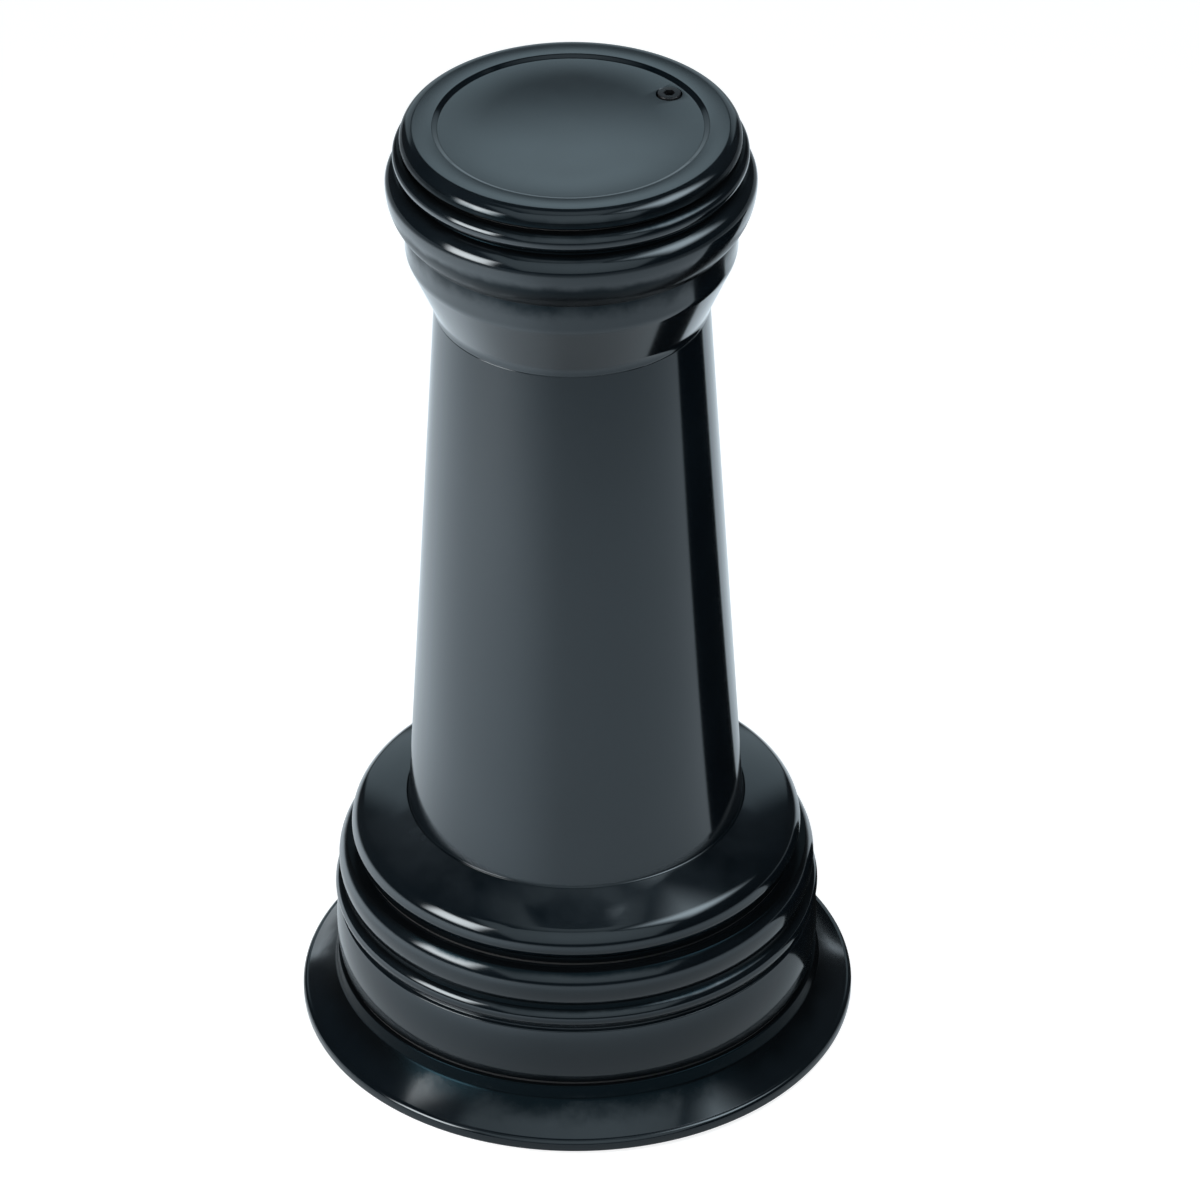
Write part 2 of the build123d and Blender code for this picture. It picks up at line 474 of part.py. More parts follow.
def head_casting():
    """Moulded head, bored for the lid's register, with a step inside that holds the seat ring."""
    band_top = (NECK_BAND_RADIUS, HEAD_BOTTOM + NECK_BAND_TOP_RISE)
    torus_crest = (TORUS_CREST_RADIUS, HEAD_BOTTOM + TORUS_CREST_RISE)
    torus_top = (TORUS_TOP_RADIUS, HEAD_BOTTOM + TORUS_TOP_RISE)
    bead_low = (BEAD_LOW_RADIUS, HEAD_BOTTOM + BEAD_LOW_RISE)
    head_top = (HEAD_TOP_RADIUS, HEAD_TOP)
    core_bottom = HEAD_BOTTOM + HEAD_CORE_SLOPE / 2
    casting = turned(
        softened_line((HEAD_LOWER_EDGE_RADIUS, HEAD_BOTTOM),
                      (HEAD_LOWER_EDGE_RADIUS, HEAD_BOTTOM + NECK_CONE_LOW_RISE),
                      (NECK_BAND_RADIUS, HEAD_BOTTOM + NECK_CONE_TOP_RISE), band_top, radius=NECK_ROUND),
        ogee(band_top, torus_crest),
        TangentArc(torus_crest, torus_top, tangent=(0, 1)),
        path(torus_top, (BEAD_LOW_RADIUS, torus_top[1]), bead_low),
        moulding(bead_low, (BEAD_CREST_RADIUS, HEAD_BOTTOM + BEAD_CREST_RISE), head_top),
        path(head_top, (HEAD_BORE_RADIUS, HEAD_TOP), (HEAD_BORE_RADIUS, SEAT_BOTTOM),
             (HEAD_CORE_RADIUS, SEAT_BOTTOM), (HEAD_CORE_RADIUS, core_bottom + HEAD_CORE_SLOPE),
             (HEAD_SPIGOT_BORE, core_bottom), (HEAD_SPIGOT_BORE, HEAD_BOTTOM - HEAD_SPIGOT_DEPTH),
             (HEAD_SPIGOT_RADIUS, HEAD_BOTTOM - HEAD_SPIGOT_DEPTH), (HEAD_SPIGOT_RADIUS, HEAD_BOTTOM),
             (HEAD_LOWER_EDGE_RADIUS, HEAD_BOTTOM)),
    )
    return casting - dowel_holes(NECK_DOWEL_CIRCLE, SHAFT_TOP, HEAD_BOTTOM, NECK_DOWEL_ANGLE)


def seat_ring():
    """Turned ring on the head's step, with a pad for the screw pillar, that the bridge bar bears on."""
    pad = at_lid_screw(rod(PILLAR_RADIUS + PILLAR_PAD_MARGIN, SEAT_BOTTOM, SEAT_TOP))
    blank = (ring(SEAT_RING_RADIUS, SEAT_RING_BORE, SEAT_BOTTOM, SEAT_TOP) + pad) & rod(
        SEAT_RING_RADIUS, SEAT_BOTTOM, SEAT_TOP)
    return blank - at_lid_screw(rod(PILLAR_FOOT_RADIUS + THREAD_CLEARANCE, SEAT_BOTTOM, SEAT_TOP))


def screw_pillar():
    """Pillar screwed into the seat ring, bored at the top for the lid screw's bush."""
    barrel = rod(PILLAR_RADIUS, SEAT_TOP, PILLAR_TOP)
    barrel = chamfer(barrel.edges().filter_by(GeomType.CIRCLE), PILLAR_EDGE_CHAMFER)
    pillar = barrel + rod(PILLAR_FOOT_RADIUS, SEAT_BOTTOM, SEAT_TOP + PILLAR_EDGE_CHAMFER)
    pillar -= rod(LID_HOLE_RADIUS, PILLAR_TOP - PILLAR_BORE_DEPTH, PILLAR_TOP)
    return at_lid_screw(pillar - rod(INSERT_RADIUS + DOWEL_CLEARANCE, PILLAR_TOP - INSERT_LENGTH, PILLAR_TOP))


# ---------------------------------------------------------------- lid
def lid_gasket():
    """Gasket that the lid is screwed down on."""
    return ring(HEAD_TOP_RADIUS - LID_GASKET_INSET, HEAD_BORE_RADIUS, HEAD_TOP, LID_BOTTOM)


def lid():
    """Round lid with a rolled rim, a face that lies a little lower and one screw boss."""
    rim_inner = LID_RADIUS - LID_RIM_WIDTH
    face_edge = rim_inner - LID_STEP_WIDTH
    face_height = OVERALL_HEIGHT - LID_FACE_RECESS
    side_top = (LID_RADIUS, OVERALL_HEIGHT - LID_RIM_ROUND)
    rim_top = (LID_RADIUS - LID_RIM_ROUND, OVERALL_HEIGHT)
    side_bottom = (LID_RADIUS, LID_BOTTOM + LID_LOWER_ROUND)
    under_edge = (LID_RADIUS - LID_LOWER_ROUND, LID_BOTTOM)
    crown = (0, face_height + LID_FACE_CROWN)
    casting = turned(
        path(under_edge, (0, LID_BOTTOM), crown),
        TangentArc(crown, (face_edge, face_height), tangent=(1, 0)),
        path((face_edge, face_height), (rim_inner, OVERALL_HEIGHT), rim_top),
        TangentArc(rim_top, side_top, tangent=(1, 0)),
        path(side_top, side_bottom),
        TangentArc(side_bottom, under_edge, tangent=(0, -1)),
    )
    casting += at_lid_screw(rod(LID_SCREW_BOSS_RADIUS, SCREW_BOSS_BOTTOM, LID_BOTTOM))
    casting -= at_lid_screw(rod(COUNTERBORE_RADIUS, LID_BOTTOM, OVERALL_HEIGHT))
    return casting - at_lid_screw(rod(LID_HOLE_RADIUS, SCREW_BOSS_BOTTOM, LID_BOTTOM))


def lid_register():
    """Ring under the lid that centres it in the head's bore, cut away beside the screw's boss."""
    bottom = LID_BOTTOM - LID_REGISTER_DEPTH
    body = turned(path(
        (LID_REGISTER_BORE, LID_BOTTOM), (LID_REGISTER_RADIUS, LID_BOTTOM),
        (LID_REGISTER_RADIUS, bottom + LID_REGISTER_CHAMFER), (LID_REGISTER_RADIUS - LID_REGISTER_CHAMFER, bottom),
        (LID_REGISTER_BORE, bottom), (LID_REGISTER_BORE, LID_BOTTOM)))
    return body - at_lid_screw(rod(LID_SCREW_BOSS_RADIUS + REGISTER_CLEARANCE, bottom, LID_BOTTOM))


def lid_screw():
    """Socket-head screw that holds the lid down."""
    seat = LID_BOTTOM + LID_WASHER_THICKNESS
    head = rod(LID_SCREW_HEAD_RADIUS, seat, seat + LID_SCREW_HEAD_HEIGHT)
    shank = rod(LID_SCREW_RADIUS, seat - LID_SCREW_LENGTH, seat)
    point = shank.edges().filter_by(GeomType.CIRCLE).sort_by(Axis.Z)[0]
    socket = extrude(RegularPolygon(LID_SCREW_SOCKET_FLATS / sqrt(3), 6), LID_SCREW_SOCKET_DEPTH)
    top = seat + LID_SCREW_HEAD_HEIGHT
    blank = head + chamfer(point, ROD_END_CHAMFER / 2)
    return at_lid_screw(blank - Pos(0, 0, top - LID_SCREW_SOCKET_DEPTH) * socket)


def lid_screw_washer():
    """Washer under the lid screw's head."""
    top = LID_BOTTOM + LID_WASHER_THICKNESS
    return at_lid_screw(ring(LID_WASHER_RADIUS, LID_SCREW_RADIUS + SCREW_CLEARANCE, LID_BOTTOM, top))


def lid_screw_insert():
    """Threaded bush that the lid screw runs in."""
    bore = LID_SCREW_RADIUS + SCREW_CLEARANCE
    return at_lid_screw(ring(INSERT_RADIUS, bore, PILLAR_TOP - INSERT_LENGTH, PILLAR_TOP))


# ---------------------------------------------------------------- clamping rod
def bridge_bar():
    """Bar across the seat ring that the rod pulls down on."""
    span = HEAD_BORE_RADIUS - BRIDGE_END_CLEARANCE
    bar = Box(2 * span, BRIDGE_WIDTH, BRIDGE_THICKNESS, align=(Align.CENTER, Align.CENTER, Align.MIN))
    bar &= rod(span, 0, BRIDGE_THICKNESS)
    bar = chamfer(bar.edges().group_by(Axis.Z)[-1], BRIDGE_EDGE_CHAMFER)
    bar -= rod(ROD_HOLE_RADIUS, 0, BRIDGE_THICKNESS)
    return Pos(0, 0, SEAT_TOP) * Rot(0, 0, LID_SCREW_ANGLE + 90) * bar


def tie_rod():
    """Rod from the base flange's boss up through the bridge bar."""
    bar = rod(ROD_RADIUS, ROD_BOTTOM, ROD_TOP)
    return chamfer(bar.edges().filter_by(GeomType.CIRCLE), ROD_END_CHAMFER)


def rod_washer():
    """Washer under the rod's top nut."""
    return ring(ROD_WASHER_RADIUS, ROD_HOLE_RADIUS, BRIDGE_TOP, NUT_BOTTOM)


def pieces():
    """Every piece of the post by its node name."""
    return {
        "base_gasket": base_gasket(),
        "base_flange": base_flange(),
        "plinth_gasket": plinth_gasket(),
        "plinth_drum": plinth_drum(),
        "plinth_dowels": dowels(BASE_DOWEL_CIRCLE, BASE_SEAT_HEIGHT, DRUM_BOTTOM, BASE_DOWEL_ANGLE),
        "collar_gasket": collar_gasket(),
        "collar_ring": collar_ring(),
        "collar_dowels": dowels(COLLAR_DOWEL_CIRCLE, DRUM_TOP, COLLAR_BOTTOM, BASE_DOWEL_ANGLE),
        "foot_gasket": foot_gasket(),
        "shaft": shaft(),
        "foot_dowels": dowels(FOOT_DOWEL_CIRCLE, COLLAR_SEAT, SHAFT_BOTTOM, BASE_DOWEL_ANGLE),
        "neck_gasket": neck_gasket(),
        "head_casting": head_casting(),
        "neck_dowels": dowels(NECK_DOWEL_CIRCLE, SHAFT_TOP, HEAD_BOTTOM, NECK_DOWEL_ANGLE),
        "seat_ring": seat_ring(),
        "screw_pillar": screw_pillar(),
        "lid_gasket": lid_gasket(),
        "lid": lid(),
        "lid_register": lid_register(),
        "lid_screw": lid_screw(),
        "lid_screw_washer": lid_screw_washer(),
        "lid_screw_insert": lid_screw_insert(),
        "bridge_bar": bridge_bar(),
        "tie_rod": tie_rod(),
        "rod_washer": rod_washer(),
        "rod_nut": hex_nut(NUT_BOTTOM, NUT_HEIGHT),
        "rod_lock_nut": hex_nut(LOCK_NUT_BOTTOM, LOCK_NUT_HEIGHT),
        "rod_foot_nut": hex_nut(BOSS_TOP, LOCK_NUT_HEIGHT),
    }


os.makedirs("parts", exist_ok=True)
for name, piece in pieces().items():
    export_step(piece, f"parts/{name}.step")
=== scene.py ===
"""Looks of a quay bollard post: castings under gloss black paint, rubber joints and steelwork.

Shapes are drawn in millimetres and built in metres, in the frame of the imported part, whose boxes
give each piece its place. A turned piece is an outline of (radius, height) points that one Geometry
Nodes tree turns about the post's axis. A second tree spreads cutters round that axis, and a third
cuts threads and knurls.
"""
import logging
import math
from dataclasses import dataclass, field
from enum import Enum

import bpy
from mathutils import Matrix, Vector


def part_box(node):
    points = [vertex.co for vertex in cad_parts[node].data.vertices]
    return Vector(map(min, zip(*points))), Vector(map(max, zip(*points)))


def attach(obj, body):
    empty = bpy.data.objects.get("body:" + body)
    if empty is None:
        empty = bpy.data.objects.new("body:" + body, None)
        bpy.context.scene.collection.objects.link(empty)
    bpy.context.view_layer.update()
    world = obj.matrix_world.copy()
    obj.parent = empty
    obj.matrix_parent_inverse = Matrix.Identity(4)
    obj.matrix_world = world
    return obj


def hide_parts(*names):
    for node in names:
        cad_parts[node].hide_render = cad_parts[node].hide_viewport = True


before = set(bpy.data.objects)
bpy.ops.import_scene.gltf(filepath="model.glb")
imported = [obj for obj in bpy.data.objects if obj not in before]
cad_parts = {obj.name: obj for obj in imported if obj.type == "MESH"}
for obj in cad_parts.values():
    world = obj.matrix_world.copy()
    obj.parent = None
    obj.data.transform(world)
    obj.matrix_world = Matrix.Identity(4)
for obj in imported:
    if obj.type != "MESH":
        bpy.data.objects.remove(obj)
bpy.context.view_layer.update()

LOG = logging.getLogger("bollard")
Point = tuple[float, float]
Spot = tuple[float, float, float]
Colour = tuple[float, float, float]
Tree, Socket, Sockets = bpy.types.NodeTree, bpy.types.NodeSocket, bpy.types.bpy_prop_collection
Mesh, Material = bpy.types.Mesh, bpy.types.Material

MM = 0.001
FINE_TURN = 256       # facets round a large casting
SMALL_TURN = 64       # facets round a fastener
JOIN_DISTANCE = 2e-6  # points nearer than this become one, in metres
SMOOTH_ANGLE = math.radians(32)
OVERRUN = 1.0         # how far a cutter stands past what it cuts
FIT = 0.3             # gap of a spigot in its bore
SHEET_EDGE = 0.4      # rounding of a rubber ring's edges
WHITE = (1.0, 1.0, 1.0)


class Body(str, Enum):
    """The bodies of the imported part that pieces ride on."""

    POST = "post"
    LID = "lid"
    WASHER = "lid_washer"
    SCREW = "lid_screw"


class Plug(str, Enum):
    """Types of a node group's sockets."""

    SHAPE = "NodeSocketGeometry"
    WHOLE = "NodeSocketInt"
    FLOAT = "NodeSocketFloat"
    VECTOR = "NodeSocketVector"
    MATERIAL = "NodeSocketMaterial"


# ---------------------------------------------------------------- node helpers
def node(tree: Tree, kind: str, **settings: object) -> bpy.types.Node:
    """Add a node and set its properties, or its inputs where the name isn't a property.

    Args:
        tree: The tree that gets the node.
        kind: The node's type name.
        settings: Property values, or values or source sockets of inputs. An input goes by its name
            with underscores, or by i and its place.

    Returns:
        The new node.
    """
    made = tree.nodes.new(kind)
    inputs = {name: value for name, value in settings.items() if not hasattr(made, name)}
    for name, value in settings.items():
        if name not in inputs:
            setattr(made, name, value)
    for name, value in inputs.items():
        socket = made.inputs[int(name[1:]) if name[1:].isdigit() else name.replace("_", " ")]
        if isinstance(value, bpy.types.NodeSocket):
            tree.links.new(value, socket)
        else:
            socket.default_value = value
    return made


def new_tree(name: str, inputs: dict[str, Plug], output: str = "Geometry") -> tuple[Tree, Sockets]:
    """Make a node group with named inputs and one output.

    Args:
        name: The group's name.
        inputs: Type of each input, by its name.
        output: The output's name. Geometry makes a geometry tree, and another name a shader group.

    Returns:
        The group, and its inputs as sockets inside it.
    """
    shape = output == "Geometry"
    tree = bpy.data.node_groups.new(name, "GeometryNodeTree" if shape else "ShaderNodeTree")
    for label, plug in inputs.items():
        tree.interface.new_socket(label, in_out="INPUT", socket_type=plug.value)
    plug = Plug.SHAPE if shape else Plug.FLOAT
    tree.interface.new_socket(output, in_out="OUTPUT", socket_type=plug.value)
    return tree, node(tree, "NodeGroupInput").outputs


def maths(tree: Tree, operation: str, *inputs: object, clamp: bool = False) -> Socket:
    """Add a Math node and return its output."""
    values = {f"i{place}": value for place, value in enumerate(inputs)}
    return node(tree, "ShaderNodeMath", operation=operation, use_clamp=clamp, **values).outputs[0]


def whole(tree: Tree, operation: str, first: Socket, second: object) -> Socket:
    """Add an Integer Math node and return its output."""
    return node(tree, "FunctionNodeIntegerMath", operation=operation, i0=first, i1=second).outputs[0]


def vectors(tree: Tree, operation: str, first: Socket, output: str = "Vector", **more: object) -> Socket:
    """Add a Vector Math node and return one of its outputs."""
    return node(tree, "ShaderNodeVectorMath", operation=operation, i0=first, **more).outputs[output]


def axes(tree: Tree, vector: Socket) -> Sockets:
    """Take a vector apart into X, Y and Z."""
    return node(tree, "ShaderNodeSeparateXYZ", i0=vector).outputs


def ramp(tree: Tree, value: Socket, low: float, high: float, start: object = 0.0, end: object = 1.0,
         smooth: bool = False) -> Socket:
    """Stretch the range of a value.

    Args:
        tree: The tree that gets the node.
        value: The value to stretch.
        low: Where the range starts.
        high: Where it ends.
        start: The result at its start and below.
        end: The result at its end and above.
        smooth: Whether it eases in and out.

    Returns:
        The stretched value.
    """
    style = "SMOOTHSTEP" if smooth else "LINEAR"
    return node(tree, "ShaderNodeMapRange", interpolation_type=style, Value=value, From_Min=low,
                From_Max=high, To_Min=start, To_Max=end).outputs[0]


def noise(tree: Tree, place: Socket, scale: object, detail: object, rough: float = 0.5) -> Socket:
    """Add a Noise Texture and return its value."""
    return node(tree, "ShaderNodeTexNoise", Vector=place, Scale=scale, Detail=detail,
                Roughness=rough).outputs[0]


def rgba(colour: Colour) -> tuple[float, float, float, float]:
    """A colour with nothing seen through it."""
    return *colour, 1.0


def mixed(tree: Tree, share: Socket, under: object, over: Colour) -> Socket:
    """Lay a colour over another by a mask."""
    return node(tree, "ShaderNodeMix", data_type="RGBA", i0=share, i6=under, i7=rgba(over)).outputs[2]


def placed(tree: Tree, group: Tree, **values: object) -> Socket:
    """Place a shader group in a material and return its output."""
    return node(tree, "ShaderNodeGroup", node_tree=group, **values).outputs[0]


def empty_material(name: str) -> tuple[Material, Tree]:
    """Make a material with no nodes.

    Args:
        name: The material's name.

    Returns:
        The material and its tree.
    """
    made = bpy.data.materials.new(name)
    made.use_nodes = True
    made.node_tree.nodes.clear()
    return made, made.node_tree


def shown(name: str, data: bpy.types.ID) -> bpy.types.Object:
    """Put a mesh or a camera in the scene.

    Args:
        name: The object's name.
        data: The mesh or the camera.

    Returns:
        The object.
    """
    item = bpy.data.objects.new(name, data)
    bpy.context.scene.collection.objects.link(item)
    return item


def baked(*items: bpy.types.Object) -> Mesh:
    """Turn an object, with its modifiers, into a plain mesh.

    Args:
        items: The object and the cutters that its modifiers use. All are removed.

    Returns:
        The plain mesh.
    """
    graph = bpy.context.evaluated_depsgraph_get()
    made = bpy.data.meshes.new_from_object(items[0].evaluated_get(graph), depsgraph=graph)
    for item in items:
        bpy.data.objects.remove(item)
    return made


# ---------------------------------------------------------------- geometry trees
def realized(tree: Tree, geometry: Socket, material: Socket) -> Tree:
    """End a geometry tree in Realize Instances and Set Material.

    Args:
        tree: The tree to end.
        geometry: The socket that carries the finished shape.
        material: The socket that carries its material.

    Returns:
        The finished tree.
    """
    solid = node(tree, "GeometryNodeRealizeInstances", Geometry=geometry)
    dressed = node(tree, "GeometryNodeSetMaterial", Geometry=solid.outputs[0], Material=material)
    node(tree, "NodeGroupOutput", i0=dressed.outputs[0])
    return tree


def round_spot(tree: Tree, angle: Socket, radius: Socket, height: object) -> Socket:
    """The point at an angle and radius from the Z axis, at a height."""
    x, y = (maths(tree, "MULTIPLY", maths(tree, side, angle), radius) for side in ("COSINE", "SINE"))
    return node(tree, "ShaderNodeCombineXYZ", X=x, Y=y, Z=height).outputs[0]


def turning_tree() -> Tree:
    """Build the tree that turns a closed outline, kept as a string of points, about the Z axis.

    Returns:
        The geometry tree.
    """
    tree, given = new_tree("turn_about_axis", {"Outline": Plug.SHAPE, "Facets": Plug.WHOLE,
                                               "Material": Plug.MATERIAL})
    count = node(tree, "GeometryNodeAttributeDomainSize", Geometry=given["Outline"])
    columns = whole(tree, "ADD", given["Facets"], 1)
    grid = node(tree, "GeometryNodeMeshGrid", Vertices_X=count.outputs["Point Count"], Vertices_Y=columns)
    index = node(tree, "GeometryNodeInputIndex").outputs[0]
    row, column = (whole(tree, how, index, columns) for how in ("DIVIDE_FLOOR", "MODULO"))
    place = node(tree, "GeometryNodeInputPosition").outputs[0]
    sample = node(tree, "GeometryNodeSampleIndex", data_type="FLOAT_VECTOR", domain="POINT",
                  Geometry=given["Outline"], Value=place, Index=row)
    parts = axes(tree, sample.outputs[0])
    turn = maths(tree, "MULTIPLY", maths(tree, "DIVIDE", column, given["Facets"]), math.tau)
    moved = node(tree, "GeometryNodeSetPosition", Geometry=grid.outputs["Mesh"],
                 Position=round_spot(tree, turn, parts["X"], parts["Z"]))
    closed = node(tree, "GeometryNodeMergeByDistance", Geometry=moved.outputs[0], Distance=JOIN_DISTANCE)
    return realized(tree, closed.outputs[0], given["Material"])


def spreading_tree() -> Tree:
    """Build the tree that copies a shape evenly round the Z axis, at a radius and a start angle.

    Returns:
        The geometry tree.
    """
    tree, given = new_tree("spread_round_axis", {"Shape": Plug.SHAPE, "Count": Plug.WHOLE,
                                                 "Radius": Plug.FLOAT, "Start": Plug.FLOAT,
                                                 "Material": Plug.MATERIAL})
    points = node(tree, "GeometryNodePoints", Count=given["Count"])
    share = maths(tree, "DIVIDE", node(tree, "GeometryNodeInputIndex").outputs[0], given["Count"])
    turn = maths(tree, "MULTIPLY_ADD", share, math.tau, given["Start"])
    spots = node(tree, "GeometryNodeSetPosition", Geometry=points.outputs[0],
                 Position=round_spot(tree, turn, given["Radius"], 0.0))
    heading = node(tree, "ShaderNodeCombineXYZ", Z=turn)
    copies = node(tree, "GeometryNodeInstanceOnPoints", Points=spots.outputs[0],
                  Instance=given["Shape"], Rotation=heading.outputs[0])
    return realized(tree, copies.outputs[0], given["Material"])


def groove_tree() -> Tree:
    """Build the tree that cuts V grooves into a finely divided bar about the Z axis.

    Rise is the number of grooves per metre along the axis and Starts the number round it, so one
    start with a rise is a thread, and many starts with no rise are a straight knurl.

    Returns:
        The geometry tree.
    """
    sizes = dict.fromkeys(("Rise", "Starts", "Depth", "Bottom", "Top", "Fade"), Plug.FLOAT)
    tree, given = new_tree("cut_grooves", {"Blank": Plug.SHAPE, **sizes, "Material": Plug.MATERIAL})
    place = node(tree, "GeometryNodeInputPosition").outputs[0]
    parts = axes(tree, place)
    turn = maths(tree, "ARCTAN2", parts["Y"], parts["X"])
    share = maths(tree, "MULTIPLY", maths(tree, "DIVIDE", turn, math.tau), given["Starts"])
    phase = maths(tree, "SUBTRACT", maths(tree, "MULTIPLY", parts["Z"], given["Rise"]), share)
    cut = maths(tree, "MULTIPLY", maths(tree, "PINGPONG", phase, 0.5), 2.0)
    ends = maths(tree, "MINIMUM", maths(tree, "SUBTRACT", parts["Z"], given["Bottom"]),
                 maths(tree, "SUBTRACT", given["Top"], parts["Z"]))
    fade = maths(tree, "DIVIDE", ends, given["Fade"], clamp=True)
    depth = maths(tree, "MULTIPLY", maths(tree, "MULTIPLY", cut, given["Depth"]), fade)
    outward = vectors(tree, "NORMALIZE", vectors(tree, "MULTIPLY", place, i1=(1.0, 1.0, 0.0)))
    shift = vectors(tree, "SCALE", outward, Scale=maths(tree, "MULTIPLY", depth, -1.0))
    moved = node(tree, "GeometryNodeSetPosition", Geometry=given["Blank"], Offset=shift)
    return realized(tree, moved.outputs[0], given["Material"])


@dataclass(frozen=True)
class Workshop:
    """The three geometry trees, built once and shared by every piece."""

    turning: Tree = field(default_factory=turning_tree)
    spreading: Tree = field(default_factory=spreading_tree)
    grooving: Tree = field(default_factory=groove_tree)

    def run(self, tree: Tree, start: Mesh, **values: float) -> Mesh:
        """Run a geometry tree on a mesh.

        Args:
            tree: The geometry tree to run.
            start: The mesh that the tree starts from.
            values: The tree's other inputs, by name.

        Returns:
            A mesh with no modifier left on it.
        """
        holder = shown("blank", start)
        modifier = holder.modifiers.new("shape", "NODES")
        modifier.node_group = tree
        for item in tree.interface.items_tree:
            if item.in_out == "INPUT" and item.name in values:
                modifier[item.identifier] = values[item.name]
        return baked(holder)


# ---------------------------------------------------------------- outlines
class Outline:
    """Section of a turned piece, drawn point by point as (radius, height) in millimetres."""

    ARC_STEP = math.radians(4)   # largest turn between two points of an arc
    ARC_LEAST = 3                # least number of steps in an arc
    CORNER = math.radians(20)    # a smaller turn than this isn't a corner
    SAME = 0.001                 # points nearer than this are one
    ON_AXIS = 0.01               # a corner nearer to the axis than this stays sharp
    STRAIGHT = 1e-9              # an arc that rises less than this is a line
    MOST_SIDE = 0.45             # share of a corner's side that softening may take
    SOFTENING = (0.0, 0.25, 0.5, 0.75, 1.0)

    def __init__(self, start: Point) -> None:
        """Start the outline at a point."""
        self.points: list[Point] = [start]

    @classmethod
    def band(cls, inner: float, outer: float, bottom: float, top: float) -> "Outline":
        """The section of a flat ring, or of a bar where inner is 0."""
        return cls((inner, bottom)).to((outer, bottom), (outer, top), (inner, top))

    def to(self, *points: Point, steps: int = 1) -> "Outline":
        """Draw straight lines to each point in turn.

        Args:
            points: Where the lines end.
            steps: Number of equal steps in each line.

        Returns:
            The outline itself.
        """
        for end in points:
            x, z = self.points[-1]
            dx, dz = end[0] - x, end[1] - z
            self.points.extend((x + dx * i / steps, z + dz * i / steps) for i in range(1, steps + 1))
        return self

    def eased(self, *points: Point, radius: float) -> "Outline":
        """Draw straight lines to each point in turn, with each corner between them rounded.

        Args:
            points: The corners, and the end.
            radius: The corners' radius.

        Returns:
            The outline itself.
        """
        for corner, after in zip(points, points[1:]):
            here = Vector(corner)
            inward = (here - Vector(self.points[-1])).normalized()
            outward = (Vector(after) - here).normalized()
            cut = radius * math.tan(inward.angle(outward) / 2)
            self.to(tuple(here - inward * cut)).arc(tuple(here + outward * cut), tuple(inward))
        return self.to(points[-1])

    def _arc(self, start: Point, end: Point, tangent: Point) -> list[Point]:
        """Points of the arc from start to end that leaves start along tangent.

        Args:
            start: Where the arc starts.
            end: Where it ends.
            tangent: Unit direction at its start.

        Returns:
            The points after start, up to and with end.
        """
        dx, dy = end[0] - start[0], end[1] - start[1]
        nx, ny = -tangent[1], tangent[0]
        side = dx * nx + dy * ny
        if abs(side) < self.STRAIGHT:
            return [end]
        radius = (dx * dx + dy * dy) / (2 * side)
        cx, cy = start[0] + nx * radius, start[1] + ny * radius
        first = math.atan2(start[1] - cy, start[0] - cx)
        last = math.atan2(end[1] - cy, end[0] - cx)
        sweep = (last - first) % math.tau if radius > 0 else -((first - last) % math.tau)
        steps = max(self.ARC_LEAST, math.ceil(abs(sweep) / self.ARC_STEP))
        turns = (first + sweep * i / steps for i in range(1, steps))
        return [(cx + abs(radius) * math.cos(a), cy + abs(radius) * math.sin(a)) for a in turns] + [end]

    def arc(self, end: Point, tangent: Point) -> "Outline":
        """Draw an arc to end that leaves the last point along tangent."""
        self.points.extend(self._arc(self.points[-1], end, tangent))
        return self

    def arc_into(self, end: Point, tangent: Point) -> "Outline":
        """Draw an arc to end that arrives there along tangent.

        Args:
            end: Where the arc ends.
            tangent: Unit direction at its end.

        Returns:
            The outline itself.
        """
        back = self._arc(end, self.points[-1], (-tangent[0], -tangent[1]))
        self.points.extend([*reversed(back[:-1]), end])
        return self

    def moulding(self, crest: Point, high: Point) -> "Outline":
        """Draw a convex round whose widest point is crest, up to its high edge."""
        return self.arc_into(crest, (0, 1)).arc(high, (0, 1))

    def softened(self, radius: float) -> list[Point]:
        """Close the outline and round each sharp corner off the axis.

        Args:
            radius: The rounding's size along each side of a corner.

        Returns:
            The closed outline's points, with the first repeated at the end.
        """
        ring = [here for before, here in zip(self.points[-1:] + self.points[:-1], self.points)
                if math.dist(before, here) > self.SAME]
        done: list[Point] = []
        for i, here in enumerate(ring):
            corner = Vector(here)
            inward, outward = Vector(ring[i - 1]) - corner, Vector(ring[(i + 1) % len(ring)]) - corner
            if math.pi - inward.angle(outward) < self.CORNER or here[0] < self.ON_AXIS or not radius:
                done.append(here)
                continue
            cut = min(radius, inward.length * self.MOST_SIDE, outward.length * self.MOST_SIDE)
            first, last = (corner + way.normalized() * cut for way in (inward, outward))
            for share in self.SOFTENING:
                done.append(tuple(first.lerp(corner, share).lerp(corner.lerp(last, share), share)))
        return done + [done[0]]


@dataclass(frozen=True)
class Ring:
    """A ring round the post's axis where shade is painted into a hollow, or dust and a painted sheen lie on a
    ledge, in millimetres.
    """

    radius: float
    height: float
    reach: float

    def share(self, spot: Point) -> float:
        """How near a spot is to the ring: 1 on it, falling to 0 at its reach."""
        return max(0.0, 1.0 - math.dist(spot, (self.radius, self.height)) / self.reach)


@dataclass(frozen=True)
class Span:
    """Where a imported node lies, in millimetres."""

    bottom: float
    top: float
    radius: float
    centre: Point

    @classmethod
    def of(cls, name: str) -> "Span":
        """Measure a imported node."""
        low, high = (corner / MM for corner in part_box(name))
        return cls(low.z, high.z, (high.x - low.x) / 2, ((low.x + high.x) / 2, (low.y + high.y) / 2))


